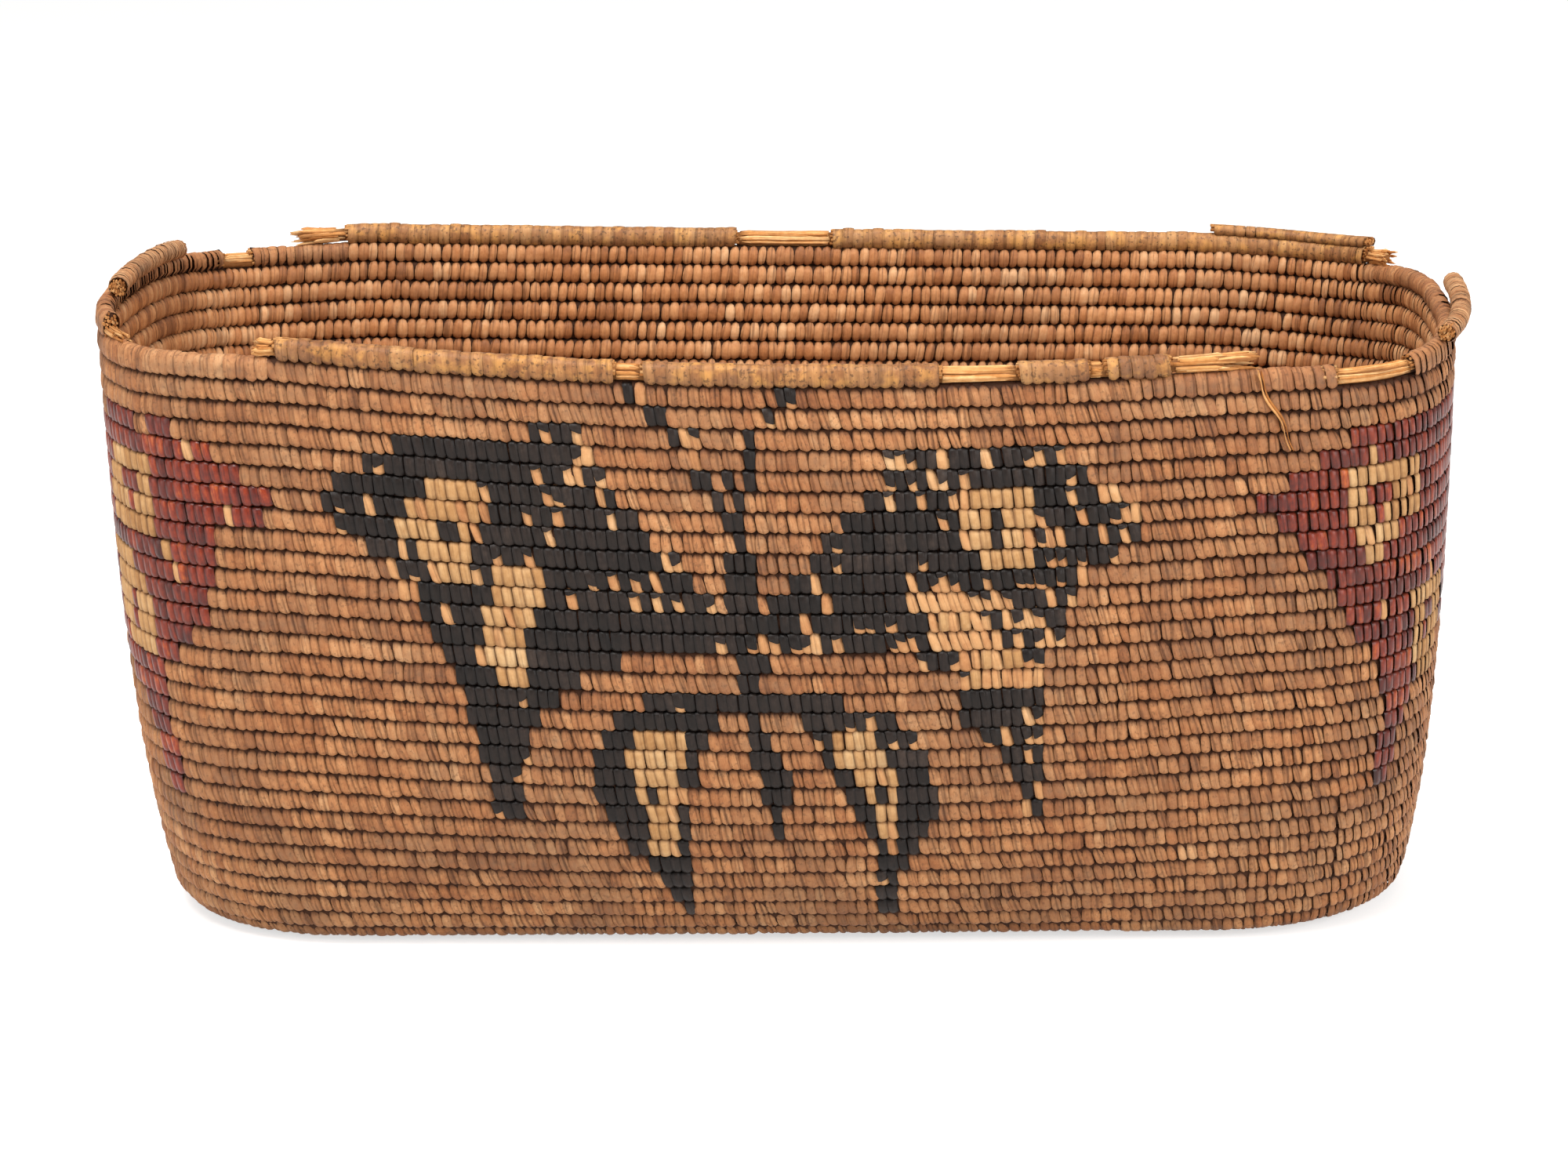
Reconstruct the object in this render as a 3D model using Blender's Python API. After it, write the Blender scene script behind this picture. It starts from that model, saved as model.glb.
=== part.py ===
"""Imbricated basket: a long open basket coiled from split cedar root.

One coil starts in the middle of the base, winds outwards as a flat oval, turns up at the edge and
climbs as a spiral to the rim. Each turn of it is a course of the wall. The last turn is the rim
coil, which is worn: whipped lengths of it stand between lengths whose whipping is gone, so that the
bundle of split roots shows, and the broken ends are frayed.

Metres, +Z up, the long front wall faces -Y, and the origin is under the middle of the base.
"""

import math
from functools import lru_cache

import bpy
import numpy as np
from mathutils import Vector

# The coil
COIL_PITCH = 0.0063             # from one course to the next, along the wall
COIL_THICKNESS = 0.0056         # through the wall
COIL_GAP = 0.0003               # kept between courses, and between the ends of pieces
COIL_FLAT = 0.0034              # height of the coil's flat inner and outer faces
BREAK_GAP = 0.0010              # between lengths of the rim, which rest on the course below
WHIP_THICKNESS = 0.0064         # the rim coil, with its close whipping
WHIP_HEIGHT = 0.0064
WHIP_FLAT = 0.0030
BUNDLE_THICKNESS = 0.0044       # a length of coil that has lost its whipping
BUNDLE_HEIGHT = 0.0046
BUNDLE_FLAT = 0.0022
DOUBLE_HEIGHT = 0.0030          # a thin coil sewn along the top of the rim at the back
SPLINT_WIDTH = 0.0022           # one split root
SPLINT_THICKNESS = 0.0011
FRAY_TIP_SHARE = 0.4            # a frayed end's thickness at its tip, of its root's
HANGING_DROP_TURNS = 3          # courses that the loose splint hangs down over

# The base
BASE_TURNS = 9
BASE_HALF_LENGTH = 0.1865       # to the middle of the coil where the base turns up
BASE_SAG = 0.0002               # the base stands this much lower than its turned up edge

# The wall at its thirty-first course
WALL_TURNS = 31
RIM_HALF_LENGTH = 0.2055
RIM_FRONT_REACH = 0.102
RIM_BACK_REACH = 0.100
RIM_STRAIGHT_HALF = 0.135       # half of the long side, between its corners
RIM_CORNER_POWER = 3.3          # 2 is an ellipse, and more is squarer
FRONT_BOW = 0.0245              # how far the front wall bulges in the middle
BACK_BOW = 0.002
RIM_SLOPE = 0.0065              # the rim is this much higher at its left end, lower at its right
BACK_LEVEL_SHARE = 0.45         # share of that slope that the back doesn't have
BACK_RISE = 0.0025              # the back stands this much higher than the front
LEFT_SLANT = 0.014              # the left end leans in towards the back by this much
LEFT_SLANT_FRONT_SHARE = 0.35   # share of the slant that moves its front corner out
FLARE_DECAY = 0.045             # the wall leans out most over this height of it
EARLY_FLARE_SHARE = 0.84        # share of the flare that is in that lean
EDGE_BEND = 0.012               # wall height over which the base turns up

# Where a turn begins, along the front
SEAM_X = 0.105

# Places along the front and the back, as X, where the rim's lengths begin and end
FRONT_LEFT_BUNDLE_X = -0.044
FRONT_MIDDLE_WHIP_X = -0.036
FRONT_MIDDLE_BUNDLE_X = 0.050
FRONT_RIGHT_WHIP_X = 0.069
FRONT_RIGHT_BUNDLE_X = 0.0825
FRONT_END_WHIP_X = 0.088
FRONT_SPLINTS_X = 0.1015
FRONT_SPLINTS_END_X = 0.134
BACK_DOUBLE_END_X = 0.134
BACK_MIDDLE_BUNDLE_X = 0.015
BACK_LEFT_WHIP_X = -0.0165

# Places round the ends, as shares of the end from its front corner to its back one
RIGHT_BUNDLE_SHARES = (0.11, 0.21)
RIGHT_WHIP_SHARES = (0.25, 0.58)
BACK_RIGHT_FRAY_SHARES = (0.72, 0.77)
BACK_LEFT_FRAY_SHARES = (0.925, 0.86)
LEFT_BREAK_SHARES = (0.81, 0.765)
LEFT_WHIP_SHARES = (0.72, 0.31)
LEFT_CORNER_SHARE = 0.23
FRONT_LEFT_FRAY_SHARE = 0.055
FRONT_LEFT_WHIP_SHARE = 0.03

# How finely a turn is drawn
WALL_LONG_STOP_COUNT = 4
WALL_END_STOP_COUNT = 10
BASE_LONG_STOP_COUNT = 2
BASE_END_STOP_COUNT = 5
TABLE_STEP_COUNT = 120
PROFILE_STEP_COUNT = 400
FITTING_ROUND_COUNT = 12


class Outline:
    """A course seen from above: two long sides joined by round or squarish ends."""

    def __init__(self, half_length, front_reach, back_reach, straight_half, power, front_bow,
                 back_bow, left_slant):
        self.half_length = half_length
        self.front_reach = front_reach
        self.back_reach = back_reach
        self.straight_half = straight_half
        self.power = power
        self.front_bow = front_bow
        self.back_bow = back_bow
        self.left_slant = left_slant
        self.end_points = [self.end_point(step) for step in range(TABLE_STEP_COUNT + 1)]
        self.end_shares = walked_shares(self.end_points)

    def inset(self, distance):
        """The same outline, drawn in by a distance all round."""
        return Outline(self.half_length - distance, self.front_reach - distance,
                       self.back_reach - distance, self.straight_half, self.power,
                       self.front_bow, self.back_bow, self.left_slant)

    def bowed(self, x, across):
        """A point at X, where across is -1 on the front and 1 on the back."""
        reach = self.front_reach if across < 0 else self.back_reach
        bow = self.front_bow if across < 0 else self.back_bow
        return Vector((x, across * (reach - bow * (x / self.half_length) ** 2)))

    def end_point(self, step):
        """One of the points that draw the right end, from the front side to the back."""
        angle = math.pi * (step / TABLE_STEP_COUNT - 1 / 2)
        outwards = max(0.0, math.cos(angle)) ** (2 / self.power)
        across = math.copysign(abs(math.sin(angle)) ** (2 / self.power), angle)
        return self.bowed(self.straight_half
                          + (self.half_length - self.straight_half) * outwards, across)

    def outwards(self, way):
        """The way outwards from it, square to the side that passes there."""
        step = 1 / TABLE_STEP_COUNT
        along = self.point((way + step) % 4) - self.point((way - step) % 4)
        return Vector((along.y, -along.x)).normalized()

    def slid(self, way):
        """How far the left end's slant moves a point along X."""
        moved = (-LEFT_SLANT_FRONT_SHARE, 0, 0, 1 - LEFT_SLANT_FRONT_SHARE,
                 -LEFT_SLANT_FRONT_SHARE)
        return self.left_slant * float(np.interp(way, range(5), moved))

    def point(self, way):
        """A point on it. way runs 0 to 4: front, right end, back, left end."""
        upright = self.upright_point(way)
        return Vector((upright.x + self.slid(way % 4), upright.y))

    def upright_point(self, way):
        """The same point before the left end is slanted."""
        side = int(way) % 4
        along = way - int(way)
        if side == 0:
            return self.bowed(self.straight_half * (2 * along - 1), -1)
        if side == 2:
            return self.bowed(self.straight_half * (1 - 2 * along), 1)
        walked = along if side == 1 else 1 - along
        x = float(np.interp(walked, self.end_shares, [point.x for point in self.end_points]))
        y = float(np.interp(walked, self.end_shares, [point.y for point in self.end_points]))
        return Vector((x if side == 1 else -x, y))


def walked_shares(points):
    """Share of the whole way walked at each of a row of points."""
    walked = [0.0]
    for here, there in zip(points, points[1:]):
        walked.append(walked[-1] + (there - here).length)
    return np.array(walked) / walked[-1]


RIM_OUTLINE = Outline(RIM_HALF_LENGTH, RIM_FRONT_REACH, RIM_BACK_REACH, RIM_STRAIGHT_HALF,
                      RIM_CORNER_POWER, FRONT_BOW, BACK_BOW, LEFT_SLANT)


def front_way(x):
    """The way at a place on the front."""
    slid = RIM_OUTLINE.slid(0)
    return (x + RIM_STRAIGHT_HALF - slid) / (2 * RIM_STRAIGHT_HALF - slid)


def back_way(x):
    """The way at a place on the back."""
    return 2 + (RIM_STRAIGHT_HALF - x) / (2 * RIM_STRAIGHT_HALF - RIM_OUTLINE.slid(3))


SEAM_WAY = front_way(SEAM_X)
FRONT_MIDDLE_WAY = 0.5
BACK_MIDDLE_WAY = 2.5
BASE_START_WAY = 2.0
WAYS = SEAM_WAY + np.linspace(0, 4, 4 * TABLE_STEP_COUNT + 1)
SHARES = walked_shares([RIM_OUTLINE.point(way) for way in WAYS])


def turn_share(way):
    """Share of a turn walked from the seam to this way."""
    return float(np.interp(way if way >= SEAM_WAY else way + 4, WAYS, SHARES))


def way_at(share):
    """The way at a share of a turn."""
    return float(np.interp(share, SHARES, WAYS)) % 4


# The two innermost runs of the base lie side by side on either side of its middle.
BASE_HALF_DEPTH = COIL_GAP + COIL_PITCH * (
    BASE_TURNS - (turn_share(FRONT_MIDDLE_WAY) + turn_share(BACK_MIDDLE_WAY)) / 2)
BASE_OUTLINE = Outline(BASE_HALF_LENGTH, BASE_HALF_DEPTH, BASE_HALF_DEPTH,
                       BASE_HALF_LENGTH - BASE_HALF_DEPTH, 2.0, 0, 0, 0)
COIL_HEIGHT = COIL_PITCH - COIL_GAP
LAST_TURN = WALL_TURNS - 1
WALL_RUN = WALL_TURNS * COIL_PITCH
EARLY_FLARE_SLOPE = EARLY_FLARE_SHARE / FLARE_DECAY / (1 - math.exp(-WALL_RUN / FLARE_DECAY))
LATE_FLARE_SLOPE = (1 - EARLY_FLARE_SHARE) / WALL_RUN
PROFILE_RUNS = np.linspace(0, WALL_RUN + 2 * COIL_PITCH, PROFILE_STEP_COUNT)
FLOOR_HEIGHT = COIL_THICKNESS / 2
WALL_FOOT_HEIGHT = FLOOR_HEIGHT + BASE_SAG


def climbing(flare, outwards):
    """The wall's direction upwards at each run of its profile, for the flare that it spreads."""
    slopes = LATE_FLARE_SLOPE + EARLY_FLARE_SLOPE * np.exp(-PROFILE_RUNS / FLARE_DECAY)
    leaning = np.column_stack([np.outer(slopes, flare), np.ones(len(slopes))])
    leaning /= np.linalg.norm(leaning, axis=1)[:, None]
    flat = np.array([*outwards, 0])
    bend_left = np.clip(1 - PROFILE_RUNS / EDGE_BEND, 0, 1)
    between = np.arccos(np.clip(leaning @ flat, -1, 1))
    kept = np.sin((1 - bend_left) * between) / np.sin(between)
    laid = np.sin(bend_left * between) / np.sin(between)
    return np.outer(kept, np.ones(3)) * leaning + np.outer(laid, flat)


def summed(directions):
    """How far the wall has gone at each run of the profile, from its directions."""
    steps = (directions[1:] + directions[:-1]) / 2 * np.diff(PROFILE_RUNS)[:, None]
    return np.vstack([np.zeros(3), np.cumsum(steps, axis=0)])


def at_run(run, rows):
    """A row of the profile, at a run between its steps."""
    return np.array([np.interp(run, PROFILE_RUNS, column) for column in rows.T])


@lru_cache(maxsize=None)
def wall_profile(way):
    """At one way round: the way outwards, and the wall's directions and places at each run."""
    outwards = np.array(BASE_OUTLINE.outwards(way))
    spread = np.array(RIM_OUTLINE.point(way) - BASE_OUTLINE.point(way))
    flare = spread
    for _ in range(FITTING_ROUND_COUNT):
        reached = at_run(WALL_RUN, summed(climbing(flare, outwards)))
        flare = flare + spread - reached[:2]
    directions = climbing(flare, outwards)
    return outwards, directions, summed(directions)


def wall_point(way, run):
    """A point in the middle of the wall's thickness, and how far the wall leans out there."""
    if run <= 0:
        flat = BASE_OUTLINE.inset(-run).point(way)
        height = FLOOR_HEIGHT if run < -COIL_PITCH / 2 else WALL_FOOT_HEIGHT
        return Vector((flat.x, flat.y, height)), math.pi / 2
    outwards, directions, gone = wall_profile(way)
    foot = BASE_OUTLINE.point(way)
    place = Vector((foot.x, foot.y, WALL_FOOT_HEIGHT)) + Vector(at_run(run, gone))
    back_share = (1 + place.y / RIM_BACK_REACH) / 2
    slope = RIM_SLOPE * (1 - BACK_LEVEL_SHARE * back_share) * place.x / RIM_HALF_LENGTH
    place.z += (BACK_RISE * back_share - slope) * run / WALL_RUN
    upwards = at_run(run, directions)
    return place, math.atan2(float(upwards[:2] @ outwards), float(upwards[2]))


def coil_point(turns, lift=0.0):
    """The middle of the coil after so many turns up from the edge of the base, and its lean."""
    share = turns - math.floor(turns)
    return wall_point(way_at(share), (turns + 1 / 2) * COIL_PITCH + lift)


def stop_shares(long_stops, end_stops):
    """Shares of a turn at which the coil has a point, closer together round the corners."""
    ways = []
    for stop in range(long_stops):
        ways += [stop / long_stops, 2 + stop / long_stops]
    for stop in range(end_stops):
        step = stop * TABLE_STEP_COUNT // end_stops
        ways += [1 + RIM_OUTLINE.end_shares[step], 4 - RIM_OUTLINE.end_shares[-1 - step]]
    return sorted(turn_share(way % 4) for way in ways)


WALL_STOPS = stop_shares(WALL_LONG_STOP_COUNT, WALL_END_STOP_COUNT)
BASE_STOPS = stop_shares(BASE_LONG_STOP_COUNT, BASE_END_STOP_COUNT)


def front_turns(x, turn):
    """How far along the coil a place on the front is, in the given turn."""
    return turn + turn_share(front_way(x))


def back_turns(x, turn):
    """How far along the coil a place on the back is, in the given turn."""
    return turn + turn_share(back_way(x))


def right_turns(share, turn):
    """How far along the coil a place on the right end is, in the given turn."""
    return turn + turn_share(1 + share)


def left_turns(share, turn):
    """How far along the coil a place on the left end is, in the given turn."""
    return turn + turn_share(4 - share)


def coil_path(start, end, stops, lift=0.0, gap=COIL_GAP):
    """Points and leans along the coil, drawn back by half a gap at each end."""
    span = []
    for turn in range(math.floor(start), math.floor(end) + 1):
        span += [turn + share for share in stops]
    least = COIL_PITCH / 2 / (2 * (BASE_HALF_LENGTH + BASE_HALF_DEPTH))
    inner = sorted(turns for turns in span if start + least < turns < end - least)
    places = [coil_point(turns, lift) for turns in [start, *inner, end]]
    for tip, beside in ((0, 1), (-1, -2)):
        point, lean = places[tip]
        towards = (places[beside][0] - point).normalized()
        places[tip] = (point + towards * gap / 2, lean)
    return places


def new_material(name, colour, roughness):
    """A plain Principled material."""
    material = bpy.data.materials.new(name)
    material.use_nodes = True
    shader = material.node_tree.nodes["Principled BSDF"]
    shader.inputs["Base Color"].default_value = (*colour, 1)
    shader.inputs["Roughness"].default_value = roughness
    shader.inputs["Metallic"].default_value = 0
    material.diffuse_color = (*colour, 1)
    return material


def new_section(name, corners, guides):
    """A closed outline that a coil is swept along."""
    curve = bpy.data.curves.new(name, "CURVE")
    curve.dimensions = "2D"
    curve.fill_mode = "NONE"
    spline = curve.splines.new("POLY")
    spline.points.add(len(corners) - 1)
    for point, (x, y) in zip(spline.points, corners):
        point.co = (x, y, 0, 1)
    spline.use_cyclic_u = True
    section = bpy.data.objects.new(name, curve)
    section.hide_render = True
    section.display_type = "WIRE"
    guides.objects.link(section)
    return section


def six_sided(thickness, height, flat):
    """Corners of a coil's section: flat inside and outside, and ridged above and below."""
    return [(thickness / 2, -flat / 2), (0, -height / 2), (-thickness / 2, -flat / 2),
            (-thickness / 2, flat / 2), (0, height / 2), (thickness / 2, flat / 2)]


def box_corners(width, height):
    """Corners of a flat strip's section."""
    return [(width / 2, -height / 2), (-width / 2, -height / 2), (-width / 2, height / 2),
            (width / 2, height / 2)]


def new_sweep(name, places, section, material, parts, tip_share=1.0):
    """A section swept along places, each a point and its lean, and thinned towards the end."""
    curve = bpy.data.curves.new(name, "CURVE")
    curve.dimensions = "3D"
    curve.twist_mode = "Z_UP"
    curve.bevel_mode = "OBJECT"
    curve.bevel_object = section
    curve.use_fill_caps = True
    spline = curve.splines.new("POLY")
    spline.points.add(len(places) - 1)
    for step, (point, (place, lean)) in enumerate(zip(spline.points, places)):
        point.co = (*place, 1)
        point.tilt = lean
        point.radius = 1 + (tip_share - 1) * step / (len(places) - 1)
    curve.materials.append(material)
    sweep = bpy.data.objects.new(name, curve)
    parts.objects.link(sweep)
    return sweep


def hanging_path():
    """The loose splint: out over the rim beside the broken splints, and down the wall."""
    start = front_turns(FRONT_SPLINTS_END_X, WALL_TURNS)
    places = []
    for drop in range(HANGING_DROP_TURNS + 1):
        point, lean = coil_point(start - drop)
        outwards = Vector((0, -math.cos(lean), -math.sin(lean)))
        clear = COIL_THICKNESS / 2 + COIL_GAP + SPLINT_THICKNESS
        along = Vector((drop * SPLINT_WIDTH, 0, 0))
        places.append((point + outwards * clear + along, 0.0))
    return places


def build_wall(parts, guides, material):
    """The base, its edge and the courses of the wall, each one turn of the coil."""
    section = new_section("coil_section", six_sided(COIL_THICKNESS, COIL_HEIGHT, COIL_FLAT), guides)
    base_start = turn_share(BASE_START_WAY) - BASE_TURNS
    new_sweep("base_coil", coil_path(base_start, -1, BASE_STOPS), section, material, parts)
    new_sweep("edge_coil", coil_path(-1, 0, WALL_STOPS), section, material, parts)
    for turn in range(LAST_TURN):
        path = coil_path(turn, turn + 1, WALL_STOPS)
        new_sweep(f"wall_coil_{turn + 1:02d}", path, section, material, parts)
    bare_start, bare_end = (right_turns(share, LAST_TURN) for share in RIGHT_BUNDLE_SHARES)
    right = coil_path(LAST_TURN, bare_start, WALL_STOPS, 0.0, BREAK_GAP)
    new_sweep(f"wall_coil_{WALL_TURNS:02d}_right", right, section, material, parts)
    break_start, break_end = (left_turns(share, LAST_TURN) for share in LEFT_BREAK_SHARES)
    last = coil_path(bare_end, break_start, WALL_STOPS, 0.0, BREAK_GAP)
    new_sweep(f"wall_coil_{WALL_TURNS:02d}", last, section, material, parts)
    corner = left_turns(LEFT_CORNER_SHARE, LAST_TURN)
    left = coil_path(break_end, corner, WALL_STOPS, 0.0, BREAK_GAP)
    new_sweep(f"wall_coil_{WALL_TURNS:02d}_left", left, section, material, parts)


def build_whips(parts, guides, material):
    """The lengths of the rim coil that are still whipped."""
    section = new_section("whip_section", six_sided(WHIP_THICKNESS, WHIP_HEIGHT, WHIP_FLAT), guides)
    back_right = right_turns(BACK_RIGHT_FRAY_SHARES[1], WALL_TURNS)
    lengths = {
        "rim_whip_front_left": (left_turns(FRONT_LEFT_WHIP_SHARE, LAST_TURN),
                                front_turns(FRONT_LEFT_BUNDLE_X, LAST_TURN)),
        "rim_whip_front_middle": (front_turns(FRONT_MIDDLE_WHIP_X, LAST_TURN),
                                  front_turns(FRONT_MIDDLE_BUNDLE_X, LAST_TURN)),
        "rim_whip_front_right": (front_turns(FRONT_RIGHT_WHIP_X, LAST_TURN),
                                 front_turns(FRONT_RIGHT_BUNDLE_X, LAST_TURN)),
        "rim_whip_front_end": (front_turns(FRONT_END_WHIP_X, LAST_TURN),
                               front_turns(FRONT_SPLINTS_X, LAST_TURN)),
        "rim_whip_right_end": tuple(right_turns(share, WALL_TURNS)
                                    for share in RIGHT_WHIP_SHARES),
        "rim_whip_back_right": (back_right, back_turns(BACK_MIDDLE_BUNDLE_X, WALL_TURNS)),
        "rim_whip_back_left": (back_turns(BACK_LEFT_WHIP_X, WALL_TURNS),
                               left_turns(BACK_LEFT_FRAY_SHARES[0], WALL_TURNS)),
        "rim_whip_left_end": tuple(left_turns(share, WALL_TURNS) for share in LEFT_WHIP_SHARES),
    }
    lift = (WHIP_HEIGHT - COIL_HEIGHT) / 2
    for name, (start, end) in lengths.items():
        path = coil_path(start, end, WALL_STOPS, lift, BREAK_GAP)
        new_sweep(name, path, section, material, parts)
    double = new_section("double_section",
                         six_sided(COIL_THICKNESS, DOUBLE_HEIGHT, DOUBLE_HEIGHT / 2), guides)
    above = WHIP_HEIGHT - COIL_HEIGHT / 2 + DOUBLE_HEIGHT / 2 + COIL_GAP
    back_end = back_turns(BACK_DOUBLE_END_X, WALL_TURNS)
    path = coil_path(back_right, back_end, WALL_STOPS, above, BREAK_GAP)
    new_sweep("rim_double_back_right", path, double, material, parts)


def build_bundles(parts, guides, material):
    """The lengths that lost their whipping, and the frayed ends, which thin towards their tips."""
    section = new_section("bundle_section",
                          six_sided(BUNDLE_THICKNESS, BUNDLE_HEIGHT, BUNDLE_FLAT), guides)
    lift = (BUNDLE_HEIGHT - COIL_HEIGHT) / 2
    lengths = {
        "rim_bundle_front_left": (front_turns(FRONT_LEFT_BUNDLE_X, LAST_TURN),
                                  front_turns(FRONT_MIDDLE_WHIP_X, LAST_TURN)),
        "rim_bundle_front_middle": (front_turns(FRONT_MIDDLE_BUNDLE_X, LAST_TURN),
                                    front_turns(FRONT_RIGHT_WHIP_X, LAST_TURN)),
        "rim_bundle_front_right": (front_turns(FRONT_RIGHT_BUNDLE_X, LAST_TURN),
                                   front_turns(FRONT_END_WHIP_X, LAST_TURN)),
        "rim_bundle_right_corner": tuple(right_turns(share, LAST_TURN)
                                         for share in RIGHT_BUNDLE_SHARES),
        "rim_bundle_back": (back_turns(BACK_MIDDLE_BUNDLE_X, WALL_TURNS),
                            back_turns(BACK_LEFT_WHIP_X, WALL_TURNS)),
        "wall_bundle_back_left": tuple(left_turns(share, LAST_TURN)
                                       for share in LEFT_BREAK_SHARES),
    }
    for name, (start, end) in lengths.items():
        path = coil_path(start, end, WALL_STOPS, lift, BREAK_GAP)
        new_sweep(name, path, section, material, parts)
    frays = {
        "rim_fray_front_left": (left_turns(FRONT_LEFT_WHIP_SHARE, LAST_TURN),
                                left_turns(FRONT_LEFT_FRAY_SHARE, LAST_TURN)),
        "broken_splints_front": (front_turns(FRONT_SPLINTS_X, LAST_TURN),
                                 front_turns(FRONT_SPLINTS_END_X, WALL_TURNS)),
        "rim_fray_back_right": (right_turns(BACK_RIGHT_FRAY_SHARES[1], WALL_TURNS),
                                right_turns(BACK_RIGHT_FRAY_SHARES[0], WALL_TURNS)),
        "rim_fray_back_left": tuple(left_turns(share, WALL_TURNS)
                                    for share in BACK_LEFT_FRAY_SHARES),
    }
    for name, (root, tip) in frays.items():
        path = coil_path(min(root, tip), max(root, tip), WALL_STOPS, lift, BREAK_GAP)
        if tip < root:
            path.reverse()
        new_sweep(name, path, section, material, parts, FRAY_TIP_SHARE)
    splint = new_section("splint_section", box_corners(SPLINT_WIDTH, SPLINT_THICKNESS), guides)
    new_sweep("hanging_splint", hanging_path(), splint, material, parts, FRAY_TIP_SHARE)


def build():
    """The whole basket."""
    for thing in list(bpy.data.objects):
        bpy.data.objects.remove(thing)
    parts = bpy.data.collections.new("imbricated_basket")
    guides = bpy.data.collections.new("guides")
    bpy.context.scene.collection.children.link(parts)
    bpy.context.scene.collection.children.link(guides)
    build_wall(parts, guides, new_material("sewn_root", (0.396, 0.178, 0.070), 0.75))
    build_whips(parts, guides, new_material("worn_whipping", (0.435, 0.216, 0.068), 0.60))
    build_bundles(parts, guides, new_material("bare_root", (0.584, 0.319, 0.114), 0.85))


build()
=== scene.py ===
"""Imbricated basket, dressed: a coil of split cedar root, sewn, imbricated and worn at the rim.

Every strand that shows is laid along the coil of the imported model: the sewing of each course, the
folded strips of bark and grass that draw the figures, the whipping of the rim, and the split roots
that stand bare where the whipping is gone. Sizes of strands are in millimetres.
"""

import logging
import math
from dataclasses import dataclass, field
from enum import Enum

import bmesh
import bpy
import numpy as np
from mathutils import Matrix, Vector


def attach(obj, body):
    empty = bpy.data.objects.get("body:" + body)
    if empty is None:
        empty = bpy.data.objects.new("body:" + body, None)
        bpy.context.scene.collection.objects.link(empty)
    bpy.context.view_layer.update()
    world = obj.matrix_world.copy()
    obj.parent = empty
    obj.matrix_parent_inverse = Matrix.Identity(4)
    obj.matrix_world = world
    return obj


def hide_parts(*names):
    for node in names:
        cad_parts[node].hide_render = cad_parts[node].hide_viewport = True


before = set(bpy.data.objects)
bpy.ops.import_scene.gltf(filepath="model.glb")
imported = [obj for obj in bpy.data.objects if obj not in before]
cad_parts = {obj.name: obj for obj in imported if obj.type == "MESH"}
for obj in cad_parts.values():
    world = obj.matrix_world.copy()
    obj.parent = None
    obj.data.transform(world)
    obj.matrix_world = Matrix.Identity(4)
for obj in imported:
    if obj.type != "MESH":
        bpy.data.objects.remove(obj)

MM = 0.001
COIL_PITCH = 6.3
COIL_HALF_THICKNESS = 2.8
BASE_TURNS = 9
WALL_TURNS = 31
RIM_TURN = WALL_TURNS - 1
SPLINTER_ROOT = 4.0
GOLDEN_ANGLE = 2.4
LOG = logging.getLogger("basket")


def walked_shares(points: np.ndarray) -> np.ndarray:
    """Share of the whole way walked at each of a row of points.

    Args:
        points: the points, one to a row.

    Returns:
        A number from 0 to 1 for each point.
    """
    steps = np.linalg.norm(np.diff(points, axis=0), axis=1)
    walked = np.concatenate([[0.0], np.cumsum(steps)])
    return walked / walked[-1]


@dataclass(frozen=True)
class Outline:
    """A course seen from above: two long sides joined by round or squarish ends."""

    half_length: float
    front_reach: float
    back_reach: float
    straight_half: float
    power: float
    front_bow: float = 0.0
    back_bow: float = 0.0
    left_slant: float = 0.0
    slant_front_share: float = 0.35
    end_steps: int = 120

    def inset(self, distance: float) -> "Outline":
        """The same outline, drawn in by a distance all round."""
        return Outline(self.half_length - distance, self.front_reach - distance,
                       self.back_reach - distance, self.straight_half, self.power,
                       self.front_bow, self.back_bow, self.left_slant)

    def slid(self, ways: np.ndarray) -> np.ndarray:
        """How far the left end's slant moves each point along X."""
        front = self.slant_front_share
        return self.left_slant * np.interp(ways, range(5), (-front, 0, 0, 1 - front, -front))

    def bowed(self, x: np.ndarray, across: np.ndarray) -> np.ndarray:
        """Points at each X, drawn in towards the ends by the side's bow.

        Args:
            x: the places along the basket.
            across: -1 on the front and 1 on the back.

        Returns:
            One point to a row, as X and Y.
        """
        reach = np.where(across < 0, self.front_reach, self.back_reach)
        bow = np.where(across < 0, self.front_bow, self.back_bow)
        return np.stack([x, across * (reach - bow * (x / self.half_length) ** 2)], axis=-1)

    def points(self, ways: np.ndarray) -> np.ndarray:
        """Points on the outline.

        Args:
            ways: places from 0 to 4: front, right end, back, left end.

        Returns:
            One point to a row, as X and Y.
        """
        angles = np.pi * (np.linspace(0, 1, self.end_steps + 1) - 1 / 2)
        outwards = np.maximum(np.cos(angles), 0) ** (2 / self.power)
        across = np.sign(angles) * np.abs(np.sin(angles)) ** (2 / self.power)
        end = self.bowed(self.straight_half
                         + (self.half_length - self.straight_half) * outwards, across)
        walked = walked_shares(end)
        side = np.floor(ways).astype(int) % 4
        along = ways - np.floor(ways)
        share = np.where(side == 1, along, 1 - along)
        end_x = np.interp(share, walked, end[:, 0]) * np.where(side == 1, 1, -1)
        round_end = np.stack([end_x, np.interp(share, walked, end[:, 1])], axis=-1)
        straight_x = self.straight_half * np.where(side == 0, 2 * along - 1, 1 - 2 * along)
        straight = self.bowed(straight_x, np.where(side == 0, -1.0, 1.0))
        upright = np.where((side % 2 == 1)[:, None], round_end, straight)
        return upright + np.stack([self.slid(ways % 4), np.zeros(len(ways))], axis=-1)


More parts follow.
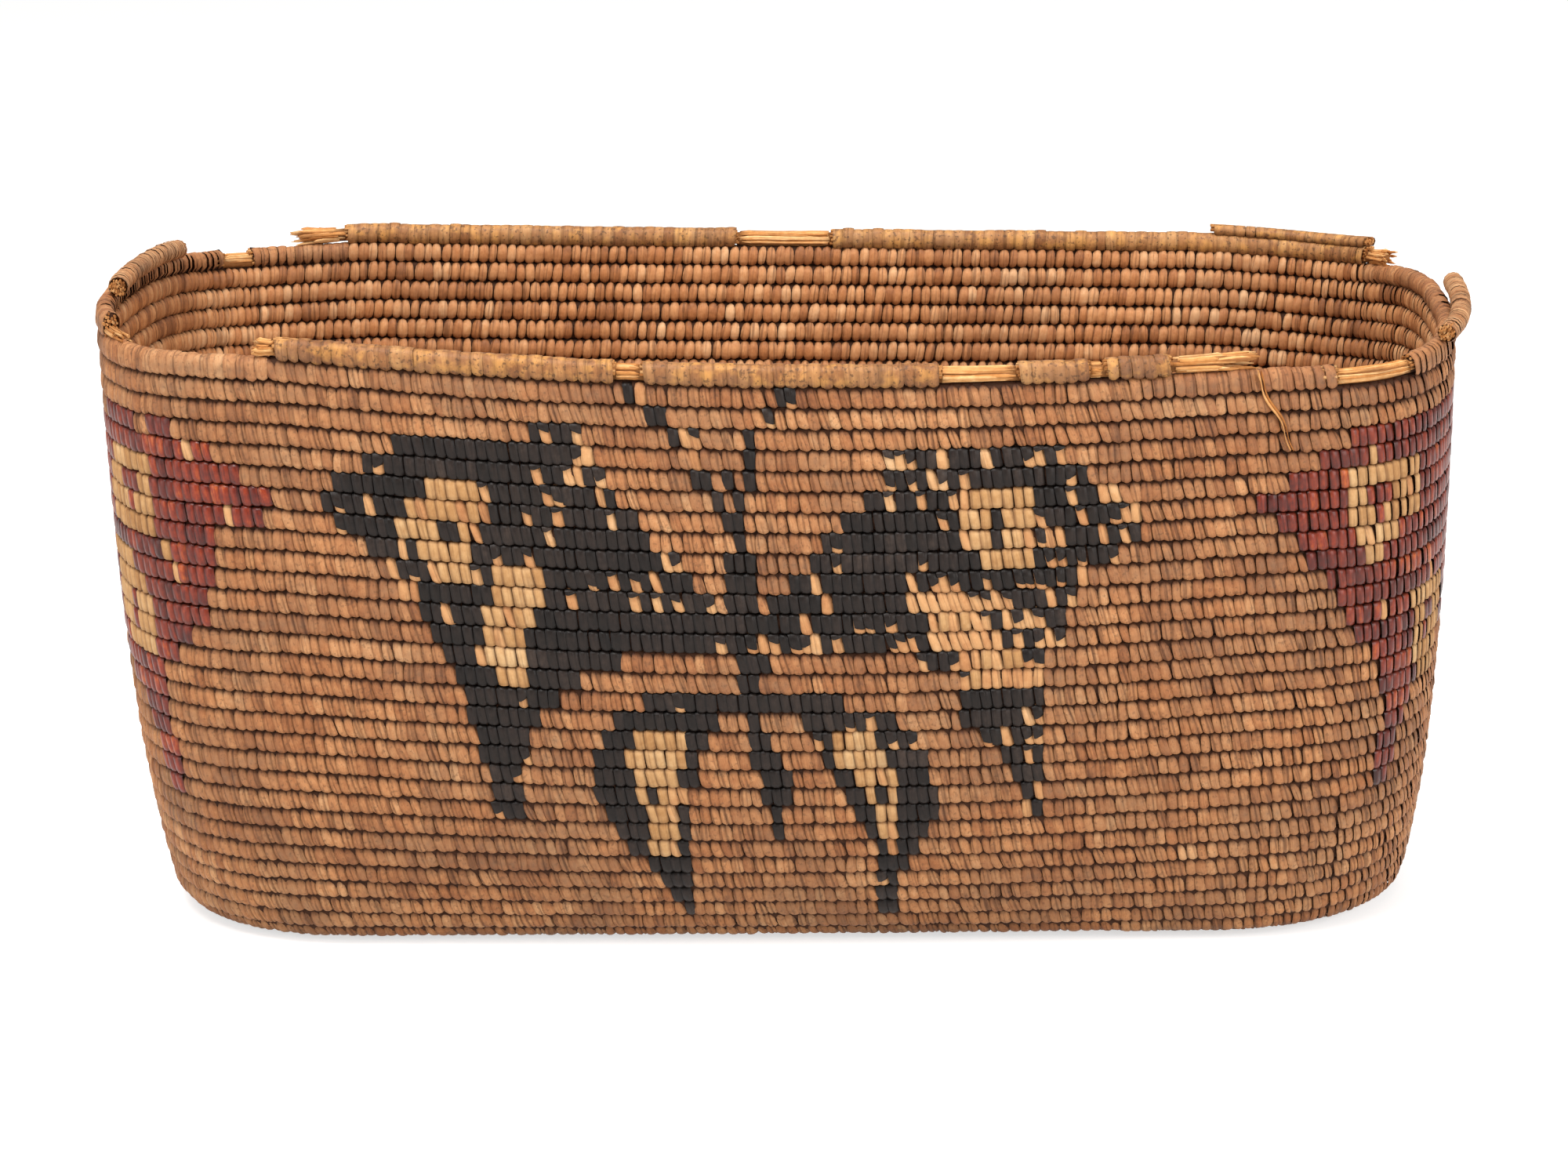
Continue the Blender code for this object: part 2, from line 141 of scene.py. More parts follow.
@dataclass
class CoilShape:
    """The middle of the wall's thickness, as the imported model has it, and the way outwards."""

    base_half_length: float = 186.5
    rim: Outline = Outline(205.5, 102.0, 100.0, 135.0, 3.3, 24.5, 2.0, 14.0)
    rim_slope: float = 6.5
    back_level_share: float = 0.45
    back_rise: float = 2.5
    left_sag: float = 3.0
    flare_decay: float = 45.0
    early_flare_share: float = 0.84
    edge_bend: float = 12.0
    base_sag: float = 0.2
    coil_gap: float = 0.3
    seam_x: float = 105.0
    fitting_rounds: int = 12
    row_count: int = 961
    run_step: float = 0.5
    profile_step: float = 0.525
    ways: np.ndarray = field(init=False)
    shares: np.ndarray = field(init=False)
    lowest_run: float = field(init=False)
    spots: np.ndarray = field(init=False)
    normals: np.ndarray = field(init=False)

    def __post_init__(self) -> None:
        """Work out the table of points that everything is laid on."""
        seam_way = self.front_way(self.seam_x)
        self.ways = seam_way + np.linspace(0, 4, 4 * self.rim.end_steps + 1)
        self.shares = walked_shares(self.rim.points(self.ways % 4))
        middle = (self.turn_share(0.5) + self.turn_share(2.5)) / 2
        depth = self.coil_gap + COIL_PITCH * (BASE_TURNS - middle)
        base = Outline(self.base_half_length, depth, depth, self.base_half_length - depth, 2.0)
        row_ways = np.interp(np.linspace(0, 1, self.row_count), self.shares, self.ways) % 4
        flat = self.base_rows(base, row_ways, depth)
        wall = self.wall_rows(base, row_ways)
        self.lowest_run = -self.run_step * (flat.shape[1])
        self.spots = np.concatenate([flat, wall], axis=1)
        self.normals = self.outward_ways(flat.shape[1])

    def turn_share(self, way: float) -> float:
        """Share of a turn walked from the seam to this way."""
        return float(np.interp(way if way >= self.ways[0] else way + 4, self.ways, self.shares))

    def base_rows(self, base: Outline, ways: np.ndarray, depth: float) -> np.ndarray:
        """Points of the flat base, by way and by run below nothing.

        Args:
            base: the outline where the base turns up.
            ways: the ways of the rows.
            depth: how far the base reaches from its middle line.

        Returns:
            An array of rows, runs and coordinates.
        """
        insets = np.arange(self.run_step, depth, self.run_step)[::-1]
        heights = COIL_HALF_THICKNESS + np.where(insets > COIL_PITCH / 2, 0, self.base_sag)
        columns = []
        for inset, height in zip(insets, heights):
            flat = base.inset(inset).points(ways)
            columns.append(np.column_stack([flat, np.full(len(ways), height)]))
        return np.stack(columns, axis=1)

    def climbing(self, runs: np.ndarray, flare: np.ndarray, outwards: np.ndarray) -> np.ndarray:
        """The wall's directions upwards, for the flare that it spreads.

        Args:
            runs: heights along the wall.
            flare: how far each row leans out, as X and Y.
            outwards: each row's way outwards at the base, as X and Y.

        Returns:
            An array of rows, runs and coordinates.
        """
        wall_run = WALL_TURNS * COIL_PITCH
        early = (self.early_flare_share / self.flare_decay
                 / (1 - math.exp(-wall_run / self.flare_decay)))
        slopes = (1 - self.early_flare_share) / wall_run + early * np.exp(-runs / self.flare_decay)
        leaning = np.concatenate([flare[:, None, :] * slopes[None, :, None],
                                  np.ones((len(flare), len(runs), 1))], axis=2)
        leaning /= np.linalg.norm(leaning, axis=2, keepdims=True)
        flat = np.concatenate([outwards, np.zeros((len(outwards), 1))], axis=1)[:, None, :]
        bend_left = np.clip(1 - runs / self.edge_bend, 0, 1)[None, :, None]
        between = np.arccos(np.clip((leaning * flat).sum(axis=2, keepdims=True), -1, 1))
        kept = np.sin((1 - bend_left) * between) / np.sin(between)
        laid = np.sin(bend_left * between) / np.sin(between)
        return kept * leaning + laid * flat

    def wall_rows(self, base: Outline, ways: np.ndarray) -> np.ndarray:
        """Points of the wall, by way and by run from its foot upwards.

        Args:
            base: the outline where the base turns up.
            ways: the ways of the rows.

        Returns:
            An array of rows, runs and coordinates.
        """
        wall_run = WALL_TURNS * COIL_PITCH
        runs = np.arange(0, wall_run + 3 * COIL_PITCH, self.profile_step)
        step = 1 / self.rim.end_steps
        along = base.points((ways + step) % 4) - base.points((ways - step) % 4)
        outwards = np.column_stack([along[:, 1], -along[:, 0]])
        outwards /= np.linalg.norm(outwards, axis=1, keepdims=True)
        spread = self.rim.points(ways) - base.points(ways)
        top = int(round(wall_run / self.profile_step))
        flare = spread
        for _ in range(self.fitting_rounds):
            flare = flare + spread - self.summed(runs, flare, outwards)[:, top, :2]
        gone = self.summed(runs, flare, outwards)
        foot = np.column_stack([base.points(ways),
                                np.full(len(ways), COIL_HALF_THICKNESS + self.base_sag)])
        wanted = np.arange(0, wall_run + 2.4 * COIL_PITCH, self.run_step) / self.profile_step
        low = wanted.astype(int)
        part = (wanted - low)[None, :, None]
        places = foot[:, None, :] + gone[:, low] * (1 - part) + gone[:, low + 1] * part
        climbed = wanted * self.profile_step / wall_run
        back_share = (1 + places[:, :, 1] / self.rim.back_reach) / 2
        slope = (self.rim_slope * (1 - self.back_level_share * back_share)
                 * places[:, :, 0] / self.rim.half_length)
        places[:, :, 2] += (self.back_rise * back_share - slope) * climbed[None, :]
        sag = self.left_sag * np.sin(np.pi * np.clip(ways - 3, 0, 1)) ** 2
        places[:, :, 2] -= sag[:, None] * climbed[None, :] ** 2
        return places

    def summed(self, runs: np.ndarray, flare: np.ndarray, outwards: np.ndarray) -> np.ndarray:
        """How far the wall has gone at each run, from its directions.

        Args:
            runs: heights along the wall.
            flare: how far each row leans out, as X and Y.
            outwards: each row's way outwards at the base, as X and Y.

        Returns:
            An array of rows, runs and coordinates.
        """
        directions = self.climbing(runs, flare, outwards)
        steps = (directions[:, 1:] + directions[:, :-1]) / 2 * self.profile_step
        return np.concatenate([np.zeros((len(flare), 1, 3)), np.cumsum(steps, axis=1)], axis=1)

    def outward_ways(self, flat_columns: int) -> np.ndarray:
        """The way outwards at every point of the table, which is downwards under the base.

        Args:
            flat_columns: how many of the table's columns lie in the base.

        Returns:
            An array of rows, runs and coordinates, of length 1.
        """
        along = np.empty_like(self.spots)
        along[1:-1] = self.spots[2:] - self.spots[:-2]
        along[0] = along[-1] = self.spots[1] - self.spots[-2]
        upwards = np.gradient(self.spots, axis=1)
        normals = np.cross(along, upwards)
        length = np.linalg.norm(normals, axis=2, keepdims=True)
        normals = normals / np.maximum(length, 1e-9)
        normals[:, :flat_columns - 1] = (0, 0, -1)
        return normals

    def place(self, turns: np.ndarray, height: np.ndarray, out: np.ndarray) -> np.ndarray:
        """Points of the model, from places on the coil.

        Args:
            turns: how far along the coil, where whole numbers are at the seam.
            height: millimetres up the wall from the coil's middle.
            out: millimetres outwards from the wall's middle.

        Returns:
            The points in metres, with one more axis than the arguments.
        """
        row = np.clip((turns % 1) * (self.row_count - 1), 0, self.row_count - 1.001)
        run = (turns + 1 / 2) * COIL_PITCH + height
        column = np.clip((run - self.lowest_run) / self.run_step, 0, self.spots.shape[1] - 1.001)
        i, j = row.astype(int), column.astype(int)
        a, b = (row - i)[..., None], (column - j)[..., None]
        spot, normal = ((table[i, j] * (1 - a) + table[i + 1, j] * a) * (1 - b)
                        + (table[i, j + 1] * (1 - a) + table[i + 1, j + 1] * a) * b
                        for table in (self.spots, self.normals))
        return (spot + normal * out[..., None]) * MM

    def walked(self, turn: float, count: int = 721) -> tuple[np.ndarray, np.ndarray]:
        """Millimetres walked along one turn of the coil.

        Args:
            turn: where the turn starts.
            count: how many places of it are given.

        Returns:
            The places, in turns, and the way walked at each.
        """
        turns = np.linspace(turn, turn + 1, count)
        middle = self.place(turns, np.zeros(count), np.zeros(count)) / MM
        steps = np.linalg.norm(np.diff(middle, axis=0), axis=1)
        return turns, np.concatenate([[0.0], np.cumsum(steps)])

    def front_way(self, x: float) -> float:
        """The way at a place on the front of the rim."""
        half, slid = self.rim.straight_half, float(self.rim.slid(np.zeros(1))[0])
        return (x + half - slid) / (2 * half - slid)

    def front_turns(self, x: float, turn: int) -> float:
        """How far along the coil a place on the front is, in the given turn."""
        return turn + self.turn_share(self.front_way(x))

    def back_turns(self, x: float, turn: int) -> float:
        """How far along the coil a place on the back is, in the given turn."""
        half, slid = self.rim.straight_half, float(self.rim.slid(np.full(1, 3.0))[0])
        return turn + self.turn_share(2 + (half - x) / (2 * half - slid))

    def right_turns(self, share: float, turn: int) -> float:
        """How far along the coil a share of the right end is, in the given turn."""
        return turn + self.turn_share(1 + share)

    def left_turns(self, share: float, turn: int) -> float:
        """How far along the coil a share of the left end is, in the given turn."""
        return turn + self.turn_share(4 - share)


class Strip(Enum):
    """What is folded over the outer face of a stitch."""

    PLAIN = 0
    BLACK = 1
    CREAM = 2
    RED = 3


@dataclass(frozen=True)
class Patch:
    """One patch of imbrication, its corners in millimetres along and courses up the wall.

    A patch with no strip only says how much is worn of the black strips inside it.
    """

    strip: Strip | None
    worn_share: float
    corners: tuple[tuple[float, float], ...]

    def covers(self, along: np.ndarray, courses: np.ndarray) -> np.ndarray:
        """Which places are inside the patch.

        Args:
            along: millimetres from the figure's middle.
            courses: courses up the wall.

        Returns:
            True for each place inside.
        """
        inside = np.zeros(along.shape, bool)
        for (x0, y0), (x1, y1) in zip(self.corners, self.corners[1:] + self.corners[:1]):
            if y0 == y1:
                continue
            crossing = (y0 > courses) != (y1 > courses)
            inside ^= crossing & (along < x0 + (courses - y0) * (x1 - x0) / (y1 - y0))
        return inside


def block(strip: Strip | None, worn_share: float, first: float, last: float, low: float,
          high: float) -> Patch:
    """A patch with straight sides: from first to last along, from low to high up the wall."""
    return Patch(strip, worn_share, ((first, high), (last, high), (last, low), (first, low)))


LONG_SIDE_FIGURE = (
    # A winged figure: fore wings, body and hind lobes in black bark, with spots of pale grass.
    Patch(Strip.BLACK, 0.14, ((-104, 27.9), (-55.7, 28.5), (-50, 26.7), (-41.5, 25),
                              (-35.8, 23.5), (-28.3, 22.5), (-22.4, 21.5), (-16.6, 20.6),
                              (-16, 19.9), (-10, 19.9), (-10, 18), (-43, 17.7), (-57, 16.3),
                              (-67, 15), (-72, 13.8), (-75, 12.5), (-78.8, 8.8), (-84.8, 8.8),
                              (-88, 12.4), (-91, 14), (-94, 16.3), (-101.5, 18.2), (-108, 20),
                              (-114.7, 21.5), (-120, 22.5), (-130, 23.3), (-132, 24.8),
                              (-125, 25.8), (-114, 26.8))),
    Patch(Strip.BLACK, 0.3, ((34, 28.3), (82, 28), (92, 26.8), (97, 25.8), (108.5, 24.8),
                             (108.5, 23.7), (104, 22.7), (94.7, 21.7), (88, 20.7), (86, 18.7),
                             (81, 17.4), (78, 15), (79, 8.7), (75, 8.7), (71, 11),
                             (66, 12.5), (59, 13.5), (53, 14.9), (54, 16.4), (40, 17.7),
                             (25.8, 17.9), (-10, 18), (-10, 19.9), (-1, 19.9), (0.2, 20.6),
                             (6.4, 21.5), (11.8, 22.5), (16.5, 23.5), (20.7, 24.5),
                             (27.6, 25.5), (32.2, 26.5))),
    Patch(Strip.CREAM, 0.08, ((-108, 25.2), (-87, 25.6), (-83.5, 24.6), (-84, 23.6), (-87, 22.8),
                              (-89.6, 21.2), (-100, 21.2), (-104, 22.3), (-109, 23))),
    Patch(Strip.CREAM, 0.1, ((-81.2, 22.1), (-66, 22.1), (-68.6, 20), (-72.6, 19), (-73.4, 15.8),
                             (-83, 15.7), (-87, 19), (-84.4, 20.1))),
    Patch(Strip.CREAM, 0.15, ((56.4, 26.2), (77.4, 26.2), (78, 25), (78.5, 23), (75, 22),
                              (61, 22), (58, 23), (53.8, 24), (53.8, 25))),
    Patch(Strip.CREAM, 0.7, ((41.7, 21.2), (53, 21.2), (61, 20), (62.3, 19), (72.7, 17.7),
                             (70, 16.3), (59, 16.4), (45, 19))),
    block(Strip.BLACK, 0.0, -98.5, -92, 23.2, 24.2),
    block(Strip.BLACK, 0.0, 64.5, 68.5, 23, 25.3),
    Patch(Strip.BLACK, 0.02, ((-13, 22.9), (-4, 22.9), (-3, 21.9), (-2.9, 18), (-1.5, 17.5),
                              (-4.4, 16.9), (-4.4, 15.9), (-3.4, 14.9), (-3.4, 13.9),
                              (-2, 13.9), (-2, 12.9), (1, 12.9), (1, 11.9), (3, 11.9),
                              (3.6, 9.9), (1.8, 9.9), (2.1, 7.9), (-0.6, 7.9), (-1, 9.9),
                              (-5.4, 9.9), (-6.3, 11.9), (-7, 12.9), (-8.7, 13.9),
                              (-9.3, 14.9), (-10.9, 15.9), (-10.9, 18), (-12.8, 19.9))),
    block(Strip.BLACK, 0.05, -38, 20, 15.1, 16.2),
    Patch(Strip.BLACK, 0.07, ((-43.7, 15.2), (-17.5, 15.2), (-17.8, 14), (-20.3, 13.4),
                              (-24, 11.4), (-27.8, 9.4), (-28, 6.3), (-27.5, 3.2), (-31, 3.2),
                              (-36, 4.5), (-40, 6.3), (-48, 8), (-52.5, 9), (-57, 10.6),
                              (-56, 11.8), (-52, 13.8))),
    Patch(Strip.BLACK, 0.09, ((7, 15.2), (31, 15.2), (40, 13.9), (45, 12.4), (47.5, 10.7),
                              (47, 9.4), (42.6, 7.7), (37.3, 6.4), (35, 4.5), (33, 3.1),
                              (29, 3.1), (28.5, 7.4), (26.7, 8.4), (19.2, 10.4), (12.2, 12.4),
                              (9.8, 13.4))),
    Patch(Strip.CREAM, 0.06, ((-40.6, 13.9), (-26.1, 13.9), (-27.7, 12.4), (-31, 10.4),
                              (-31, 9.4), (-32.2, 6.5), (-38.5, 6.5), (-40.6, 9.4),
                              (-43.7, 11.4), (-44.5, 12.7))),
    Patch(Strip.CREAM, 0.06, ((15.5, 13.9), (27.7, 13.9), (31.9, 12.4), (35, 11.4), (36.3, 10),
                              (36, 8.9), (33.8, 7.9), (30.2, 7.9), (29, 9.4), (25.2, 10.4),
                              (18, 12.4))),
    block(Strip.BLACK, 0.0, -37.8, -35, 9.9, 10.9),
    block(Strip.BLACK, 0.0, 29.4, 32.5, 9.9, 10.9),
    block(Strip.BLACK, 1.0, -31.1, -28, 14.9, 15.9),
    # The feelers, a few strips in each course: the share worn, where they lie and their foot.
    *(block(Strip.BLACK, worn_share, first, last, low, low + 1)
      for worn_share, first, last, low in (
          (0.0, -11.1, -7.6, 22.9), (0.0, -12.2, -8.9, 23.9), (0.0, -17.4, -13.6, 24.9),
          (0.0, -10.2, -6.8, 24.9), (0.0, -21.4, -18, 25.9), (0.0, -14.3, -10.8, 25.9),
          (0.0, -5.9, -2.4, 25.9), (1.0, -22.7, -19.2, 26.9), (0.0, -7.4, -3.8, 26.9),
          (0.0, -28.7, -25.1, 27.9), (1.0, -25.1, -20.4, 27.9), (0.0, -8, -4.4, 27.9),
          (0.0, -35, -28.7, 28.9), (0.4, -1.5, 3.6, 28.9), (0.0, -42.8, -39.2, 29.9),
          (1.0, -39.2, -35.8, 29.9), (0.4, 2.7, 9.1, 29.9))),
    # How the wings wore: most at the top and low on the right, hardly in their middles.
    *(block(None, *row) for row in (
        (0.5, -68, -36, 26.2, 29), (0.3, -60, -44, 25, 26.2), (0.2, -80, -55, 12, 16.6),
        (0.3, 34, 80, 26.2, 29), (0.08, 20, 56, 21.7, 24.4), (0.7, 36, 96, 16, 21.7),
        (0.35, 76, 110, 21.7, 25.2), (0.08, -2, 40, 18.9, 21.7), (0.85, 24.6, 37, 18.9, 19.9),
        (0.6, -11, 25, 17.9, 18.9))),
)

END_WING = (
    # The same kind of figure in red cherry bark, wrapped round each end; along is from its middle.
    Patch(Strip.RED, 0.03, ((-1, 28), (104, 28), (106, 27), (113, 27), (115, 26), (124, 26),
                            (127, 25), (133, 24.8), (132, 24), (127.5, 23.9), (126, 23),
                            (120.5, 22.9), (119, 22), (116.8, 21.9), (111, 20.9), (98.5, 18.1),
                            (89.5, 16.7), (83.4, 15.3), (80, 13.7), (75, 8.8), (69, 8.8),
                            (68, 11.8), (65, 13.6), (57, 14.6), (46, 16), (30, 17.2),
                            (20, 12), (6, 8), (-1, 8))),
    Patch(Strip.CREAM, 0.05, ((77, 26), (105, 26), (105, 25), (103.5, 24), (101, 22.9),
                              (100, 22), (95, 22), (94.5, 21.2), (90, 21.2), (89.5, 22),
                              (85, 22.1), (84, 23), (76, 23.1), (75, 25))),
    block(Strip.CREAM, 0.0, 96, 99, 26, 27),
    Patch(Strip.CREAM, 0.05, ((50, 19.3), (58, 19.3), (73, 18.9), (69, 15.2), (62, 14),
                              (53, 14.6), (47, 17))),
    block(Strip.RED, 0.0, 87.5, 96.5, 24, 25),
    block(Strip.RED, 0.0, 90.5, 95, 23, 24),
    block(Strip.RED, 0.0, 59, 63, 16, 17.6),
    Patch(Strip.CREAM, 0.05, ((8, 22), (20, 22), (16, 15), (8, 15))),
)


LEFT_END_WING = (
    # The left end's figure starts a little lower, with narrower spots.
    Patch(Strip.RED, 0.04, ((-1, 26.6), (60, 26.8), (62, 27.8), (95.5, 27.8), (95.5, 26.8),
                            (108, 26.8), (108, 25.8), (117.5, 25.8), (117.5, 24.8),
                            (124.5, 24.8), (124.5, 23.8), (121, 23.8), (121, 22.8),
                            (108.5, 22.8), (104, 21.8), (104.5, 19.8), (99.7, 19.8),
                            (98, 17.8), (88.7, 16.8), (79.5, 15.8), (76, 13.7), (71, 8.8),
                            (65, 8.8), (64, 11.8), (61, 13.6), (53, 14.6), (43, 16), (28, 17.2),
                            (20, 12), (6, 8), (-1, 8))),
    block(Strip.PLAIN, 0.0, 81, 86, 26.8, 27.8),
    Patch(Strip.CREAM, 0.05, ((65, 25.8), (86.5, 25.8), (85.6, 24), (84, 22.8), (84, 21.8),
                              (62, 21.8), (56, 22.8), (59, 24.4))),
    block(Strip.RED, 0.0, 70.5, 77, 23.8, 24.8),
    block(Strip.RED, 0.0, 72, 76, 22.8, 23.8),
    block(Strip.CREAM, 0.0, 84.5, 88.5, 20.8, 21.8),
    Patch(Strip.CREAM, 0.05, ((52, 20.8), (65, 20.8), (71.5, 19.8), (77, 18.8), (77, 16.8),
                              (73, 15.8), (58, 15.8), (52, 17))),
    block(Strip.RED, 0.0, 64, 67.5, 16.8, 18.8),
    Patch(Strip.CREAM, 0.05, ((8, 22), (20, 22), (16, 15), (8, 15))),
)


@dataclass(frozen=True)
class Figures:
    """Where the strips lie: a winged figure on each long side, and one round each end."""

    shape: CoilShape
    right_end_scale: float = 0.97

    def strips(self, turn: int, turns: np.ndarray) -> tuple[np.ndarray, np.ndarray]:
        """The strip and the wear at places along one turn of the coil.

        Args:
            turn: where the turn starts.
            turns: the places.

        Returns:
            A number of Strip for each place, and the share of such places that is worn.
        """
        table_turns, walked = self.shape.walked(turn)
        kinds = np.zeros(len(turns), int)
        worn = np.zeros(len(turns))
        front = self.shape.front_way(0.0)
        for way, patches, scale, mirrored in ((front, LONG_SIDE_FIGURE, 1.0, False),
                                              (2.5, LONG_SIDE_FIGURE, 1.0, False),
                                              (1.5, END_WING, self.right_end_scale, True),
                                              (3.5, LEFT_END_WING, 1.0, True)):
            middle = turn + self.shape.turn_share(way)
            along = np.interp(turns, table_turns, walked) - np.interp(middle, table_turns, walked)
            along = (along + walked[-1] / 2) % walked[-1] - walked[-1] / 2
            if mirrored:
                along = np.abs(along) / scale
            for patch in patches:
                covered = patch.covers(along, turns + 1 / 2)
                worn[covered & ((kinds == Strip.BLACK.value) | (patch.strip is not None))] = (
                    patch.worn_share)
                if patch.strip is not None:
                    kinds[covered] = patch.strip.value
        return kinds, worn


@dataclass(frozen=True)
class Strand:
    """One small mesh that is laid along the coil again and again."""

    mesh: bpy.types.Mesh
    across: np.ndarray
    height: np.ndarray
    out: np.ndarray
    half_width: np.ndarray
    grime_and_shade: np.ndarray

    @property
    def size(self) -> int:
        """How many corners it has."""
        return len(self.across)


@dataclass(frozen=True)
class StrandForm:
    """How a stitch or a strip is shaped, from its top down to its foot.

    Each stop is height, out, half width and grime, which darkens as dirt and as painted shade.
    Across it, the strand is domed, and may have a groove along its middle. A strand that wraps goes
    over the coil's top from inside to outside.
    """

    name: str
    stops: tuple[tuple[float, float, float, float], ...]
    columns: int
    dome: float
    top_round: float
    foot_round: float
    slot: int = 0
    foot_slant: float = 0.0
    groove: float = 0.0
    wraps: bool = False
    edge_grime_and_shade: float = 0.32

    def build(self) -> Strand:
        """Shape a grid into the strand.

        Returns:
            The strand, whose mesh faces outwards from the wall.
        """
        bm = bmesh.new()
        rows = len(self.stops) - 1
        bmesh.ops.create_grid(bm, x_segments=self.columns, y_segments=rows, size=1)
        bm.verts.ensure_lookup_table()
        across = np.array([vert.co.x for vert in bm.verts])
        down = (1 - np.array([vert.co.y for vert in bm.verts])) / 2 * rows
        height, out, half_width, grime_and_shade = (np.interp(down, np.arange(rows + 1), column)
                                          for column in np.array(self.stops).T)
        near_top = np.clip(1 - down / 2, 0, 1)
        near_foot = np.clip(1 - (rows - down) / 2, 0, 1)
        height = height + across ** 2 * (near_foot * self.foot_round - near_top * self.top_round)
        height = height + across * near_foot * self.foot_slant
        groove = np.exp(-(across / 0.2) ** 2) * min(self.groove, 1)
        fall = self.dome * across ** 2 + self.groove * np.exp(-(across / 0.2) ** 2)
        side = 1.0 if self.wraps else np.sign(out.mean())
        reach = np.hypot(height, out) if self.wraps else np.ones(len(out))
        if self.wraps:
            height, out = height - fall * height / reach, out - fall * out / reach
        else:
            out = out - side * fall
        # Painted shade: the strand's edges and its middle groove are darkened, along with the dirt
        # of the stops.
        grime_and_shade = np.clip(grime_and_shade + self.edge_grime_and_shade * across ** 4 + 1.2 * groove, 0, 1)
        for face in bm.faces:
            face.smooth = True
            face.material_index = self.slot
        if side < 0:
            bmesh.ops.reverse_faces(bm, faces=bm.faces)
        mesh = bpy.data.meshes.new(self.name)
        bm.to_mesh(mesh)
        bm.free()
        return Strand(mesh, across, height, out, half_width, grime_and_shade)


class Slot(Enum):
    """Where each finish stands among a woven piece's materials."""

    ROOT = 0
    INNER = 1
    BLACK = 2
    CREAM = 3
    RED = 4
    PALE = 5
    CORE = 6
    WHIP = 7
    BARE = 8


def tube_strand(sides: int, steps: int, slot: Slot) -> Strand:
    """A closed tube along X, from 0 to 1, whose rings have a radius of 1.

    Args:
        sides: how many sides a ring has.
        steps: how many lengths it is cut into.
        slot: the finish of its faces.

    Returns:
        A strand whose across is the share along it, and whose height and out lie on the ring.
    """
    bm = bmesh.new()
    bmesh.ops.create_grid(bm, x_segments=steps, y_segments=sides, size=0.5)
    for vert in bm.verts:
        angle = math.tau * (vert.co.y + 0.5)
        vert.co = (vert.co.x + 0.5, math.cos(angle), math.sin(angle))
    bmesh.ops.remove_doubles(bm, verts=bm.verts, dist=0.2 / (sides + steps))
    bmesh.ops.holes_fill(bm, edges=[edge for edge in bm.edges if edge.is_boundary], sides=0)
    bmesh.ops.recalc_face_normals(bm, faces=bm.faces)
    for face in bm.faces:
        face.smooth = len(face.verts) == 4
        face.material_index = slot.value
    mesh = bpy.data.meshes.new("tube")
    bm.to_mesh(mesh)
    spots = np.array([vert.co for vert in bm.verts])
    bm.free()
    zeros = np.zeros(len(spots))
    return Strand(mesh, spots[:, 0], spots[:, 1], spots[:, 2], zeros, zeros)


def linear(code: str) -> tuple[float, float, float, float]:
    """A colour written as sRGB hex, turned linear.

    Args:
        code: the colour, as a hash and six digits.

    Returns:
        Red, green, blue and full cover.
    """
    parts = [int(code[start:start + 2], 16) / 255 for start in (1, 3, 5)]
    return (*(part / 12.92 if part <= 0.04045 else ((part + 0.055) / 1.055) ** 2.4
              for part in parts), 1.0)


def add_node(tree: bpy.types.NodeTree, kind: str, inputs: dict | None = None,
             **settings: object) -> bpy.types.Node:
    """Add a node to a tree, with its settings, its values and its links.

    Args:
        tree: the tree.
        kind: the node's type.
        inputs: for each socket, a value or the output that is linked to it.
        settings: the node's own settings.

    Returns:
        The node.
    """
    node = tree.nodes.new(kind)
    for name, value in settings.items():
        setattr(node, name, value)
    for key, value in (inputs or {}).items():
        if isinstance(value, bpy.types.NodeSocket):
            tree.links.new(value, node.inputs[key])
        else:
            node.inputs[key].default_value = value
    return node


